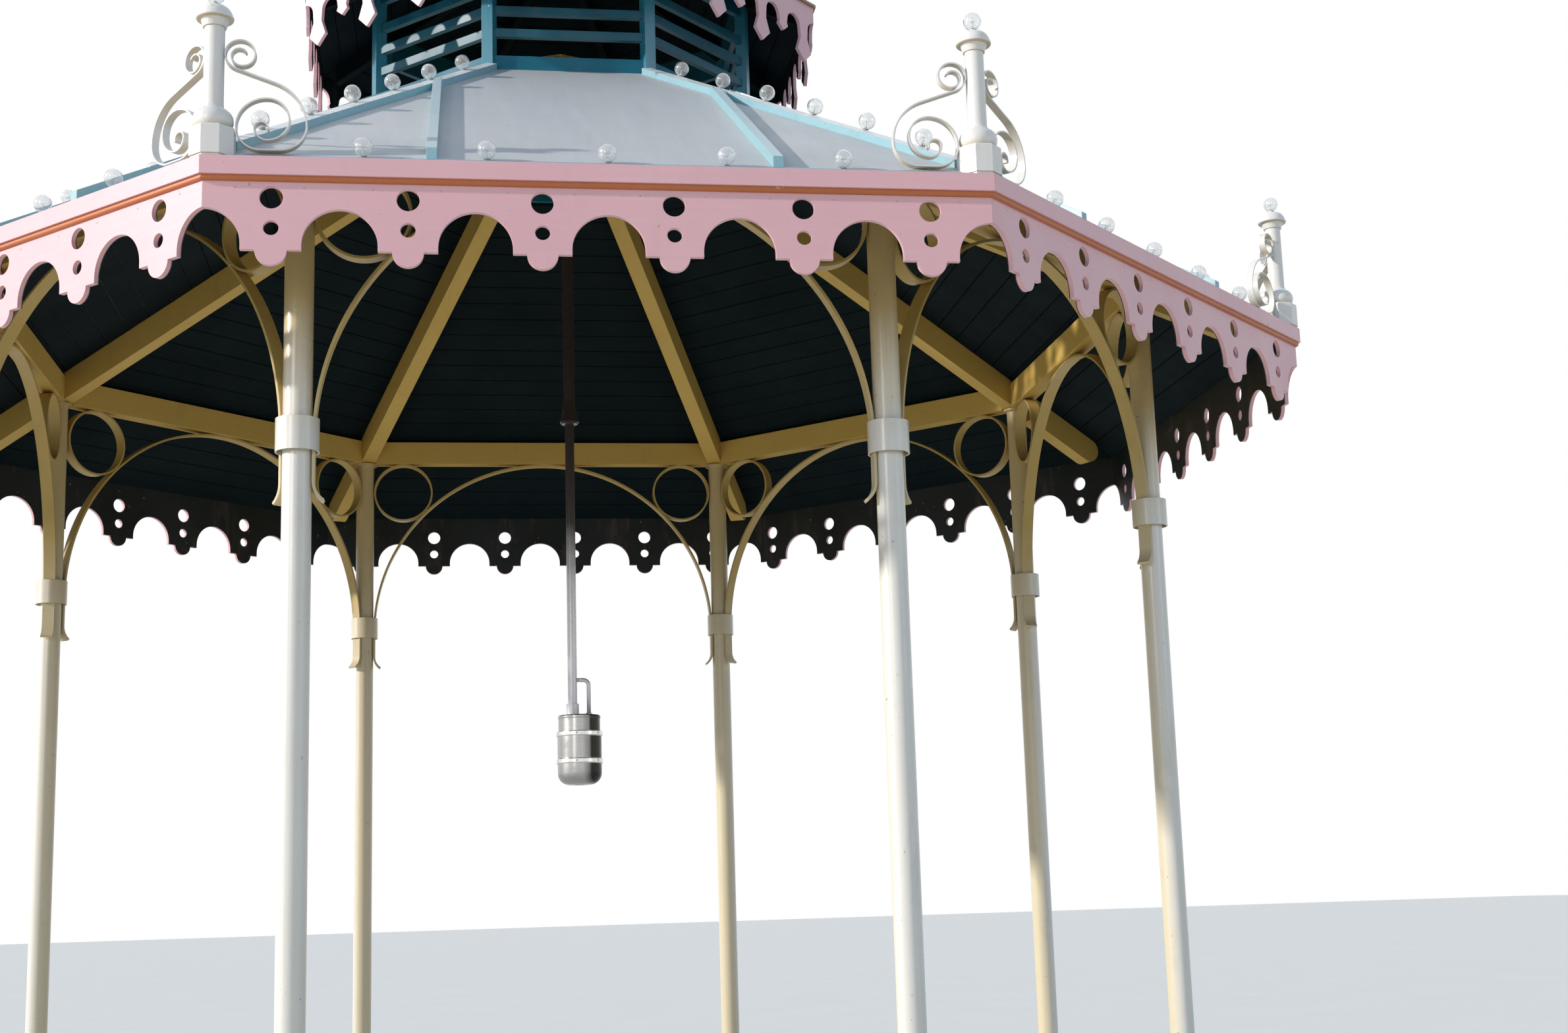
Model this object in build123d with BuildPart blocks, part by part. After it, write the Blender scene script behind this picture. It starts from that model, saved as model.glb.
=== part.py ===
from build123d import *
import math
import os

os.makedirs("parts", exist_ok=True)

# Plan: a regular octagon with one flat side towards -Y
sides = 8
turn = 360 / sides
half_turn = turn / 2
first_corner = 270 - half_turn
sin_half = math.sin(math.radians(half_turn))
cos_half = math.cos(math.radians(half_turn))
tan_half = math.tan(math.radians(half_turn))

# Clearances
seat = 0.3
mitre_gap = 0.3

# Columns and their bases
column_circle = 3048
shaft_r = 57.15
shaft_top = 4262
cap_plate_r = 75
cap_plate_t = 12
flange_r = 130
flange_t = 20
boss_wall = 19
boss_h = 50
anchor_count = 4
anchor_r = 9

# Flat bar of arches and rings
bar_w = 64
bar_t = 12
ring_bar_t = 11
leg_length = 165
flare_r = 90
flare_angle = 55

# Collars, measured down from the springing of the arches
collar_below = 47
collar_h = 132
collar_wall = 5

# Beams and rafters
beam_w = 100
beam_h = 143.5
rafter_w = 95
rafter_depth = 140
rafter_inset = 181
plumb_clear = 2
hub_margin = 6
hub_drop = 24
hub_rise = 10

# Roof
eave_overhang = 714
roof_pitch = 29.37
sheet_t = 6
board_t = 22
cap_half_w = 52
cap_t = 30
batten_w = 40
batten_h = 42
batten_inset = 817

# Eave boards
valance_inset = 12.6
valance_t = 22
fascia_rise = 5
fascia_t = 23.5
fascia_h = 70
bead_h = 20
bead_out = 14
bead_shape = 0.65
flashing_w = 31
flashing_t = 3

# Valance pattern, measured down from the top of the fascia
drops = 6
scallop_drop = 190
scallop_r = 135
scallop_straight = 21
lobe_r = 57
big_hole_drop = 149
big_hole_r = 41.5
small_hole_drop = 263
small_hole_r = 27.5

# Finials
finial_inset = 81
block_apothem = 80
block_h = 125
block_edge = 6
undercut_h = 11
undercut_d = 5
bulb_foot_r = 61
bulb_r = 74
bulb_middle = 35
bulb_waist_r = 51
bulb_waist = 72
bulb_h = 97
finial_shaft_r = 37
finial_shaft_h = 297
neck_step = 5
neck_r = 52
neck_h = 30
dome_r = 69
dome_rim = 14
rim_round = 4
dome_h = 42
dome_full = 0.72
stub_h = 8

# Scroll brackets, as a path from the curl by the shaft to the eye of the volute
scroll_w = 32
scroll_t = 6
curl_r = 54
curl_shrink = 0.85
curl_eye_turn = 150
throat_r = 60
throat_dip = 20
throat_line = 149
shoulder_r = 175
foot_r = 95
heel_r = 85
heel_rise = 3
crown_r = 110
volute_r = 80
volute_shrink = 0.56
volute_eye_turn = 200

# Lamps
globe_r = 35.5
socket_r = 14
socket_h = 4
hip_lamps = 6
first_lamp_out = 334
last_lamp_in = 371
eave_lamps = 5
eave_lamp_end = 570
eave_lamp_gap = 4.4

# Turret
turret_circle = 1040
turret_post_w = 58
turret_board_t = 30
turret_board_rise = 73.5
rail_t = 30
rail_h = 44
first_rail_rise = 101
rail_pitch = 120
rail_count = 3
head_rise = 501
turret_rise = 714.8
turret_overhang = 369.2
turret_pitch = 29.37
turret_cap_half_w = 34
turret_cap_t = 20
turret_rafter_w = 45
turret_rafter_depth = 90
turret_rafter_inset = 110
turret_hub_margin = 8.5

# Turret valance, measured down from the turret eave
turret_valance_t = 18
turret_drops = 6
turret_gap_drop = 91
turret_gap_w = 115
turret_neck_w = 60
long_tip_drop = 331
long_head_w = 120
long_head_h = 55
long_neck_h = 130
short_tip_drop = 216
short_head_w = 78
short_head_h = 30
short_neck_h = 52
nosing_out = 14
nosing_h = 14

# Spire
spire_base_r = 95
spire_base_h = 60
spire_ball_r = 62
spire_ball_sink = 0.9
spire_rod_r = 20
spire_rod_h = 330
spire_tip_r = 6
spire_collar_r = 34

# Pendant
pendant_x = 30
tube_r = 30
bell_drop = 370
bell_r = 50
bell_h = 120
bell_waist_r = 39
bell_ring_r = 44
bell_ring_h = 8
pipe_r = 24
ferrule_r = 33
ferrule_h = 60
canister_off = 33
canister_clear = 1983
canister_h = 358
canister_r = 114
canister_top_r = 108
canister_lip = 8
canister_round = 60
band_out = 6
band_h = 24
band_high = 97
band_low = 238
stay_r = 11
stay_rise = 185
stay_reach = 84
stay_bend = 28

# Ways of placing
stand = (Align.CENTER, Align.CENTER, Align.MIN)
outward = (Align.MIN, Align.MIN)

# Roof lines that follow from the sizes above
slope = math.tan(math.radians(roof_pitch))
pitch_cos = math.cos(math.radians(roof_pitch))
pitch_sin = math.sin(math.radians(roof_pitch))
hip_slope = slope * cos_half
hip_angle = math.atan(hip_slope)
skin = sheet_t + board_t
column_apothem = column_circle * cos_half
bay_half = column_circle * sin_half
plate_top = shaft_top + cap_plate_t
beam_top = plate_top + beam_h
eave_edge = column_apothem + eave_overhang
eave_z = beam_top + (skin + seat) / pitch_cos - slope * eave_overhang
eave_corner = eave_edge / cos_half
eave_half_side = eave_edge * tan_half
valance_face = eave_edge - valance_inset
valance_back = valance_face - valance_t
fascia_top = eave_z + fascia_rise
roof_edge = valance_back - seat
reach = eave_edge * 1.3


def roof_z(apothem, depth=0):
    return eave_z + slope * (eave_edge - apothem) - depth / pitch_cos


def hip_z(radius, depth=0):
    return roof_z(radius * cos_half, depth)


# Turret lines
post_half = turret_post_w / 2
turret_apothem = turret_circle * cos_half
turret_board_in = turret_apothem - turret_board_t / 2
turret_board_face = turret_apothem + turret_board_t / 2
turret_board_top = roof_z(turret_board_face) + turret_board_rise
turret_edge = turret_apothem + turret_overhang
turret_slope = math.tan(math.radians(turret_pitch))
turret_pitch_cos = math.cos(math.radians(turret_pitch))
turret_hip_slope = turret_slope * cos_half
turret_hip_angle = math.atan(turret_hip_slope)
turret_eave_z = turret_board_top + turret_rise - turret_slope * turret_overhang
sky = turret_eave_z * 1.5


def turret_z(apothem, depth=0):
    return turret_eave_z + turret_slope * (turret_edge - apothem) - depth / turret_pitch_cos


def turret_hip_z(radius, depth=0):
    return turret_z(radius * cos_half, depth)


def polygon(points):
    Polygon(*points, align=None)


def wedge(gap, mode=Mode.ADD):
    apex = gap / sin_half
    side = (reach - apex) * tan_half
    Polygon((apex, 0), (reach, -side), (reach, side), align=None, mode=mode)


def upright(angle):
    across = math.radians(angle)
    along = (math.cos(across), math.sin(across), 0)
    normal = (math.sin(across), -math.cos(across), 0)
    return Plane(origin=(0, 0, 0), x_dir=along, z_dir=normal)


def upright_axis(x):
    return Axis((x, 0, 0), (0, 0, 1))


def save(shape, name):
    shape.label = name
    export_step(shape, "parts/" + name + ".step")
    print(name, len(shape.solids()), round(shape.volume / 1e6, 3))


def around(shape, start):
    with BuildPart() as ring:
        with PolarLocations(0, sides, start_angle=start):
            add(shape)
    return ring.part


def eave_strip(points, gap):
    with BuildPart() as strip:
        with BuildSketch(Plane.XZ):
            polygon(points)
        extrude(amount=reach, both=True)
        with BuildSketch(Plane.XY):
            wedge(gap)
        extrude(amount=sky, mode=Mode.INTERSECT)
    return strip.part


# Column: pipe shaft with a cap plate
with BuildPart() as column:
    with Locations((column_circle, 0, flange_t + seat)):
        Cylinder(shaft_r, shaft_top - flange_t - seat, align=stand)
    with Locations((column_circle, 0, shaft_top)):
        Cylinder(cap_plate_r, cap_plate_t, align=stand)

# Base: flange with anchor holes and a boss round the foot of the shaft
boss_r = shaft_r + seat + boss_wall
with BuildPart() as base:
    with Locations((column_circle, 0, 0)):
        Cylinder(flange_r, flange_t, align=stand)
        Cylinder(boss_r, flange_t + boss_h, align=stand)
    fillet(base.edges().filter_by(GeomType.CIRCLE).sort_by(Axis.Z)[-1], boss_wall * 0.7)
    with Locations((column_circle, 0, flange_t)):
        Cylinder(shaft_r + seat, boss_h, align=stand, mode=Mode.SUBTRACT)
    with Locations((column_circle, 0, 0)):
        with PolarLocations((flange_r + boss_r) / 2, anchor_count, start_angle=turn):
            Cylinder(anchor_r, flange_t, align=stand, mode=Mode.SUBTRACT)

# Arch bar: half circle, straight legs and flared ends
arch_r = bay_half - shaft_r - seat
spring_z = plate_top - seat - arch_r
arch_line_r = arch_r - bar_t / 2
with BuildPart() as arch:
    with BuildSketch(Plane.YZ.offset(column_apothem)):
        with BuildLine():
            crown = CenterArc((0, spring_z), arch_line_r, 0, 180)
            left = Line(crown @ 1, (-arch_line_r, spring_z - leg_length))
            right = Line(crown @ 0, (arch_line_r, spring_z - leg_length))
            JernArc(left @ 1, (0, -1), flare_r, flare_angle)
            JernArc(right @ 1, (0, -1), flare_r, -flare_angle)
        trace(line_width=bar_t)
    extrude(amount=bar_w / 2, both=True)

# Ring in the corner between shaft, beam and arch
root_two = math.sqrt(2)
ring_r = (arch_r * (root_two - 1) - seat) / (root_two + 1)
ring_s = arch_r - ring_r
ring_z = plate_top - seat - ring_r
with BuildPart() as bay_rings:
    with BuildSketch(Plane.YZ.offset(column_apothem)):
        with Locations((ring_s, ring_z), (-ring_s, ring_z)):
            Circle(ring_r)
            Circle(ring_r - ring_bar_t, mode=Mode.SUBTRACT)
    extrude(amount=bar_w / 2, both=True)

# Collar round the shaft and the two arch legs beside it
collar_low = spring_z - collar_below
collar_top = collar_low + collar_h
leg_in = bay_half - math.sqrt((arch_r - bar_t) ** 2 - (collar_top - spring_z) ** 2)
collar_in_r = math.hypot(leg_in, bar_w / 2) + seat
with BuildPart() as collar:
    with BuildSketch(Plane.XY.offset(collar_low)):
        with Locations((column_circle, 0)):
            Circle(collar_in_r + collar_wall)
            Circle(collar_in_r, mode=Mode.SUBTRACT)
    extrude(amount=collar_h)

# Ring beam with its outer half bevelled to the boards
beam_in = column_apothem - beam_w / 2
beam_out = column_apothem + beam_w / 2
beam = eave_strip([
    (beam_in, plate_top),
    (beam_out, plate_top),
    (beam_out, roof_z(beam_out, skin + seat)),
    (column_apothem, beam_top),
    (beam_in, beam_top),
], rafter_w / 2 + seat)

# Hip rafter: hub end, birdsmouth on the cap plate and rounded tail
rafter_side_fall = slope * (rafter_w / 2) * sin_half
rafter_fall = rafter_depth / math.cos(hip_angle)
hub_apothem = (rafter_w / 2 + hub_margin) / tan_half


def rafter_top(radius):
    return hip_z(radius, skin + seat) - rafter_side_fall


def rafter_low(radius):
    return rafter_top(radius) - rafter_fall


hub_face = hub_apothem + seat
plumb_r = column_circle + cap_plate_r + plumb_clear
seat_r = column_circle + (rafter_low(column_circle) - plate_top) / hip_slope
tail = eave_corner - rafter_inset - rafter_depth / 2
tail_in = math.sin(hip_angle) * rafter_depth / 2
tail_up = math.cos(hip_angle) * rafter_depth / 2
tail_z = (rafter_top(tail) + rafter_low(tail)) / 2
with BuildPart() as rafter:
    with BuildSketch(Plane.XZ):
        with BuildLine():
            Polyline(
                (tail + tail_in, tail_z + tail_up),
                (hub_face, rafter_top(hub_face)),
                (hub_face, rafter_low(hub_face)),
                (seat_r, plate_top),
                (plumb_r, plate_top),
                (plumb_r, rafter_low(plumb_r)),
                (tail - tail_in, tail_z - tail_up),
            )
            ThreePointArc(
                (tail - tail_in, tail_z - tail_up),
                (tail + tail_up, tail_z - tail_in),
                (tail + tail_in, tail_z + tail_up),
            )
        make_face()
    extrude(amount=rafter_w / 2, both=True)

# Hub that the rafters meet at
hub_low = rafter_low(hub_face) - hub_drop
hub_high = rafter_top(hub_face) + hub_rise
with BuildPart() as roof_hub:
    with BuildSketch(Plane.XY.offset(hub_low)):
        RegularPolygon(hub_apothem, sides, major_radius=False, rotation=0)
    extrude(amount=hub_high - hub_low)
    chamfer(roof_hub.faces().sort_by(Axis.Z)[0].edges(), hub_drop / 2)

# Roof skin of one side, notched for the turret posts
roof_inner = turret_board_face + seat
notch_w = turret_post_w + 2 * seat


def skin_slab(depth_top, depth_low):
    with BuildPart() as slab:
        add(eave_strip([
            (roof_inner, roof_z(roof_inner, depth_top)),
            (roof_edge, roof_z(roof_edge, depth_top)),
            (roof_edge, roof_z(roof_edge, depth_low)),
            (roof_inner, roof_z(roof_inner, depth_low)),
        ], mitre_gap / 2))
        with BuildSketch(Plane.XY):
            with PolarLocations(turret_circle, 2, start_angle=-half_turn, angular_range=turn, endpoint=True):
                Rectangle(notch_w, notch_w)
        extrude(amount=sky, mode=Mode.SUBTRACT)
    return slab.part


# Valance board of one side
side_l = 2 * valance_face * tan_half
drop_pitch = side_l / drops
scallop_z = fascia_top - scallop_drop - scallop_r
shoulder_z = scallop_z - scallop_straight
with BuildPart() as valance:
    with BuildSketch(Plane.YZ.offset(valance_back)):
        with Locations((0, shoulder_z)):
            Rectangle(side_l, fascia_top - shoulder_z, align=(Align.CENTER, Align.MIN))
        with GridLocations(drop_pitch, 0, drops, 1):
            with Locations((0, shoulder_z)):
                Circle(lobe_r)
        with GridLocations(drop_pitch, 0, drops + 1, 1):
            with Locations((0, scallop_z)):
                Circle(scallop_r, mode=Mode.SUBTRACT)
                Rectangle(2 * scallop_r, scallop_straight, align=(Align.CENTER, Align.MAX), mode=Mode.SUBTRACT)
        with GridLocations(drop_pitch, 0, drops, 1):
            with Locations((0, fascia_top - big_hole_drop)):
                Circle(big_hole_r, mode=Mode.SUBTRACT)
            with Locations((0, fascia_top - small_hole_drop)):
                Circle(small_hole_r, mode=Mode.SUBTRACT)
    extrude(amount=valance_t)
    with BuildSketch(Plane.XY):
        wedge(mitre_gap / 2)
    extrude(amount=sky, mode=Mode.INTERSECT)

# Fascia board, the bead under it and the flashing behind it
fascia_low = fascia_top - fascia_h
fascia_face = valance_face + fascia_t
fascia = eave_strip([
    (valance_face, fascia_low),
    (fascia_face, fascia_low),
    (fascia_face, fascia_top),
    (valance_face, fascia_top),
], mitre_gap / 2)
with BuildPart() as bead:
    with BuildSketch(Plane.XZ):
        with Locations((valance_face, fascia_low)):
            Rectangle(bead_out, bead_h, align=(Align.MIN, Align.MAX))
    extrude(amount=reach, both=True)
    bead_edges = bead.edges().filter_by(Axis.Y).group_by(Axis.X)[-1]
    fillet(bead_edges.sort_by(Axis.Z)[0], bead_out * bead_shape)
    with BuildSketch(Plane.XY):
        wedge(mitre_gap / 2)
    extrude(amount=sky, mode=Mode.INTERSECT)
block_corner = block_apothem / cos_half
lap = valance_face - flashing_w
flashing = eave_strip([
    (valance_face, fascia_top),
    (valance_face, fascia_top + flashing_t),
    (valance_back, roof_z(valance_back, -flashing_t)),
    (lap, roof_z(lap, -flashing_t)),
    (lap, roof_z(lap)),
    (roof_edge, roof_z(roof_edge)),
    (roof_edge, fascia_top),
], block_corner + seat)

# Hip capping: two strips that meet on the hip line
finial_r = eave_corner - finial_inset
cap_out = finial_r - block_corner - seat
cap_in = turret_circle + post_half + seat
with BuildPart() as hip_cap:
    with BuildSketch(upright(half_turn)):
        polygon([
            (0, roof_z(0)),
            (eave_edge, roof_z(eave_edge)),
            (eave_edge, roof_z(eave_edge, -cap_t)),
            (0, roof_z(0, -cap_t)),
        ])
    extrude(amount=reach, both=True)
    with BuildSketch(Plane.XY):
        with Locations((cap_in, 0)):
            Rectangle(cap_out - cap_in, cap_half_w, align=outward)
    extrude(amount=sky, mode=Mode.INTERSECT)
    mirror(about=Plane.XZ)

# Raised battens of one side, from the flashing to the hip cappings
batten_s = eave_half_side - batten_inset
with BuildPart() as battens:
    with BuildSketch(Plane.XZ):
        polygon([
            (0, roof_z(0)),
            (lap - seat, roof_z(lap - seat)),
            (lap - seat, roof_z(lap - seat, -batten_h)),
            (0, roof_z(0, -batten_h)),
        ])
    extrude(amount=reach, both=True)
    with BuildSketch(Plane.XY):
        with Locations((reach / 2, batten_s), (reach / 2, -batten_s)):
            Rectangle(reach, batten_w)
        wedge(cap_half_w + seat, Mode.INTERSECT)
    extrude(amount=sky, mode=Mode.INTERSECT)

# Space under the two roof planes beside a hip
with BuildPart() as under_roof:
    with BuildSketch(upright(half_turn)):
        polygon([(0, 0), (reach, 0), (reach, roof_z(reach)), (0, roof_z(0))])
    extrude(amount=reach, both=True)
    with BuildSketch(upright(-half_turn)):
        polygon([(0, 0), (reach, 0), (reach, roof_z(reach)), (0, roof_z(0))])
    extrude(amount=reach, both=True, mode=Mode.INTERSECT)

# Corner finial: octagonal block, turned ball, shaft, neck and domed cap
block_top = fascia_top + block_h
bulb_top = block_top + bulb_h
finial_shaft_top = bulb_top + finial_shaft_h
neck_top = finial_shaft_top + neck_h
rim_top = neck_top + dome_rim
dome_top = rim_top + dome_h
stub_top = dome_top + stub_h
with BuildPart() as finial:
    with BuildSketch(Plane.XY.offset(fascia_top)):
        with Locations((finial_r, 0)):
            RegularPolygon(block_apothem - undercut_d, sides, major_radius=False)
    extrude(amount=undercut_h)
    with BuildSketch(Plane.XY.offset(fascia_top + undercut_h)):
        with Locations((finial_r, 0)):
            RegularPolygon(block_apothem, sides, major_radius=False)
    extrude(amount=block_h - undercut_h)
    chamfer(finial.faces().sort_by(Axis.Z)[-1].edges(), block_edge)
    add(under_roof.part, mode=Mode.SUBTRACT)
    with BuildSketch(Plane.XZ):
        with BuildLine():
            foot = Line((finial_r, block_top - seat), (finial_r + bulb_foot_r, block_top - seat))
            swell = ThreePointArc(
                foot @ 1,
                (finial_r + bulb_r, block_top + bulb_middle),
                (finial_r + bulb_waist_r, block_top + bulb_waist),
            )
            cove_end = (finial_r + finial_shaft_r, bulb_top)
            cove = Spline(swell @ 1, cove_end, tangents=(swell % 1, (0, 1)))
            shaft = Line(cove @ 1, (finial_r + finial_shaft_r, finial_shaft_top))
            step = Line(shaft @ 1, (finial_r + finial_shaft_r + neck_step, finial_shaft_top))
            funnel = Line(step @ 1, (finial_r + neck_r, neck_top))
            under = Line(funnel @ 1, (finial_r + dome_r - rim_round, neck_top))
            rim = ThreePointArc(
                under @ 1,
                (finial_r + dome_r, neck_top + dome_rim / 2),
                (finial_r + dome_r - rim_round, rim_top),
            )
            dome = ThreePointArc(
                rim @ 1,
                (finial_r + dome_r * dome_full, rim_top + dome_h * dome_full),
                (finial_r + socket_r, dome_top),
            )
            stub = Line(dome @ 1, (finial_r + socket_r, stub_top))
            flat = Line(stub @ 1, (finial_r, stub_top))
            Line(flat @ 1, foot @ 0)
        make_face()
    revolve(axis=upright_axis(finial_r))

# Scroll bracket in the plane of a side, rising beside the finial
scroll_apothem = finial_r * cos_half
scroll_s = finial_r * sin_half
scroll_base = roof_z(scroll_apothem - scroll_w / 2) + seat + scroll_t / 2
shaft_x = scroll_s - finial_shaft_r - seat - scroll_t / 2
block_x = scroll_s - block_apothem - seat - scroll_t / 2
dip_sin = math.sin(math.radians(throat_dip))
dip_cos = math.cos(math.radians(throat_dip))
throat_turn = 90 - throat_dip
throat_z = scroll_base + foot_r + (throat_r + shoulder_r) * dip_cos + throat_line * dip_sin
volute_in_r = volute_r * volute_shrink
curl_radii = [curl_r * curl_shrink ** step for step in range(1, 4)]
with BuildPart() as scroll:
    with BuildSketch(Plane.YZ.offset(scroll_apothem)):
        with BuildLine():
            curl = JernArc((shaft_x, throat_z), (0, 1), curl_r, 180)
            curl_in = JernArc(curl @ 1, curl % 1, curl_radii[0], 90)
            curl_turn = JernArc(curl_in @ 1, curl_in % 1, curl_radii[1], 90)
            JernArc(curl_turn @ 1, curl_turn % 1, curl_radii[2] * curl_shrink, curl_eye_turn)
            throat = JernArc((shaft_x, throat_z), (0, -1), throat_r, -throat_turn)
            fall = Line(throat @ 1, (throat @ 1) + (throat % 1) * throat_line)
            shoulder = JernArc(fall @ 1, fall % 1, shoulder_r, throat_turn)
            toe = JernArc(shoulder @ 1, shoulder % 1, foot_r, 90)
            run = Line(toe @ 1, (block_x - heel_r, scroll_base))
            heel = JernArc(run @ 1, run % 1, heel_r, 90)
            rise = Line(heel @ 1, (heel @ 1) + (heel % 1) * heel_rise)
            crown_arc = JernArc(rise @ 1, (0, 1), crown_r, 90)
            volute = JernArc(crown_arc @ 1, crown_arc % 1, volute_r, 180)
            inner = JernArc(volute @ 1, volute % 1, volute_in_r, 90)
            JernArc(inner @ 1, inner % 1, volute_in_r * volute_shrink, volute_eye_turn)
        trace(line_width=scroll_t)
    extrude(amount=scroll_w / 2, both=True)
    mirror(about=Plane.XZ)

# Lamp: short socket and clear globe, standing square to its seat
globe_lift = math.sqrt(globe_r ** 2 - socket_r ** 2)
with BuildPart() as socket:
    Cylinder(socket_r, socket_h, align=stand)
with BuildPart() as globe:
    with Locations((0, 0, socket_h + globe_lift)):
        Sphere(globe_r)
    with Locations((0, 0, socket_h)):
        Box(2 * globe_r, 2 * globe_r, globe_r, align=(Align.CENTER, Align.CENTER, Align.MAX), mode=Mode.SUBTRACT)
hip_normal = (math.sin(hip_angle), 0, math.cos(hip_angle))
first_lamp = turret_circle + first_lamp_out
hip_lamp_pitch = (finial_r - last_lamp_in - first_lamp) / (hip_lamps - 1)
corner_feet = [Plane(origin=(finial_r, 0, stub_top), x_dir=(0, 1, 0), z_dir=(0, 0, 1))]
for lamp in range(hip_lamps):
    lamp_r = first_lamp + lamp * hip_lamp_pitch
    lamp_foot = (lamp_r, 0, hip_z(lamp_r, -cap_t) + seat)
    corner_feet.append(Plane(origin=lamp_foot, x_dir=(0, 1, 0), z_dir=hip_normal))
side_normal = (pitch_sin, 0, pitch_cos)
eave_lamp_apothem = lap - socket_r - eave_lamp_gap
eave_lamp_pitch = 2 * (eave_half_side - eave_lamp_end) / (eave_lamps - 1)
side_feet = []
for lamp in range(eave_lamps):
    lamp_s = (lamp - (eave_lamps - 1) / 2) * eave_lamp_pitch
    lamp_foot = (eave_lamp_apothem, lamp_s, roof_z(eave_lamp_apothem))
    side_feet.append(Plane(origin=lamp_foot, x_dir=(0, 1, 0), z_dir=side_normal))


def lamp_set(shape):
    with BuildPart() as lamps:
        with PolarLocations(0, sides, start_angle=first_corner):
            with Locations(*corner_feet):
                add(shape)
        with PolarLocations(0, sides, start_angle=first_corner + half_turn):
            with Locations(*side_feet):
                add(shape)
    return lamps.part


# Turret posts, standing on the hip rafters
turret_side_fall = turret_slope * (turret_rafter_w / 2) * sin_half


def turret_rafter_top(radius):
    return turret_hip_z(radius, skin + seat) - turret_side_fall


def turret_rafter_low(radius):
    return turret_rafter_top(radius) - turret_rafter_depth / math.cos(turret_hip_angle)


post_in = turret_circle - post_half
post_out = turret_circle + post_half
with BuildPart() as turret_post:
    with BuildSketch(Plane.XZ):
        polygon([
            (post_in, rafter_top(post_in) + seat),
            (post_out, rafter_top(post_out) + seat),
            (post_out, turret_rafter_low(post_out) - seat),
            (post_in, turret_rafter_low(post_in) - seat),
        ])
    extrude(amount=post_half, both=True)

# Boards, rails and head of one turret side, between the posts
turret_board_low = rafter_top(turret_board_in / cos_half - rafter_w / 2 * tan_half) + seat
turret_board = eave_strip([
    (turret_board_in, turret_board_low),
    (turret_board_face, turret_board_low),
    (turret_board_face, turret_board_top),
    (turret_board_in, turret_board_top),
], post_half + seat)
head_low = turret_board_top + head_rise
rail_spots = [(turret_apothem, turret_board_top + first_rail_rise + i * rail_pitch) for i in range(rail_count)]
with BuildPart() as turret_rail:
    with BuildSketch(Plane.XZ):
        with Locations(*rail_spots):
            Rectangle(rail_t, rail_h, align=(Align.CENTER, Align.MIN))
        polygon([
            (turret_board_in, head_low),
            (turret_board_face, head_low),
            (turret_board_face, turret_z(turret_board_face, skin + seat)),
            (turret_board_in, turret_z(turret_board_in, skin + seat)),
        ])
    extrude(amount=reach, both=True)
    with BuildSketch(Plane.XY):
        wedge(post_half + seat)
    extrude(amount=sky, mode=Mode.INTERSECT)

# Turret rafter and roof skin
turret_hub_apothem = (turret_rafter_w / 2 + turret_hub_margin) / tan_half
turret_hub_face = turret_hub_apothem + seat
turret_rafter_end = turret_edge / cos_half - turret_rafter_inset
with BuildPart() as turret_rafter:
    with BuildSketch(Plane.XZ):
        polygon([
            (turret_hub_face, turret_rafter_top(turret_hub_face)),
            (turret_rafter_end, turret_rafter_top(turret_rafter_end)),
            (turret_rafter_end, turret_rafter_low(turret_rafter_end)),
            (turret_hub_face, turret_rafter_low(turret_hub_face)),
        ])
    extrude(amount=turret_rafter_w / 2, both=True)
turret_valance_back = turret_edge - turret_valance_t
turret_skin_in = turret_hub_apothem / cos_half + seat
turret_skin_out = turret_valance_back - seat


def turret_slab(depth_top, depth_low):
    return eave_strip([
        (turret_skin_in, turret_z(turret_skin_in, depth_top)),
        (turret_skin_out, turret_z(turret_skin_out, depth_top)),
        (turret_skin_out, turret_z(turret_skin_out, depth_low)),
        (turret_skin_in, turret_z(turret_skin_in, depth_low)),
    ], mitre_gap / 2)


# Nosing on top of the turret valance
nosing_low = turret_eave_z + seat
turret_nosing = eave_strip([
    (turret_valance_back, nosing_low),
    (turret_edge + nosing_out, nosing_low),
    (turret_edge + nosing_out, nosing_low + nosing_h),
    (turret_valance_back, nosing_low + nosing_h),
], mitre_gap / 2)

# Spire on its octagonal king post
spire_base_top = turret_z(spire_base_r) + spire_base_h
king_low = turret_rafter_low(turret_hub_face) - turret_hub_apothem / 2
ball_z = spire_base_top + spire_ball_r * spire_ball_sink
rod_low = ball_z + spire_ball_r * spire_ball_sink
rod_top = rod_low + spire_rod_h
with BuildPart() as under_turret:
    with BuildSketch(Plane.XY.offset(turret_eave_z)):
        RegularPolygon(turret_edge, sides, major_radius=False, rotation=half_turn)
    with BuildSketch(Plane.XY.offset(turret_z(1))):
        RegularPolygon(1, sides, major_radius=False, rotation=half_turn)
    loft()
with BuildPart() as spire:
    with BuildSketch(Plane.XY.offset(turret_z(spire_base_r) - 1)):
        RegularPolygon(spire_base_r, sides, major_radius=False, rotation=half_turn)
    extrude(amount=spire_base_h + 1)
    add(under_turret.part, mode=Mode.SUBTRACT)
    with BuildSketch(Plane.XY.offset(king_low)):
        RegularPolygon(turret_hub_apothem, sides, major_radius=False, rotation=0)
    extrude(amount=spire_base_top - king_low)
    with BuildSketch(Plane.XZ):
        polygon([
            (0, spire_base_top - seat),
            (spire_collar_r, spire_base_top - seat),
            (spire_collar_r, ball_z),
            (spire_rod_r, ball_z),
            (spire_rod_r, rod_low),
            (spire_tip_r, rod_top),
            (0, rod_top),
        ])
    revolve(axis=Axis.Z)
    with Locations((0, 0, ball_z)):
        Sphere(spire_ball_r)

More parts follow.
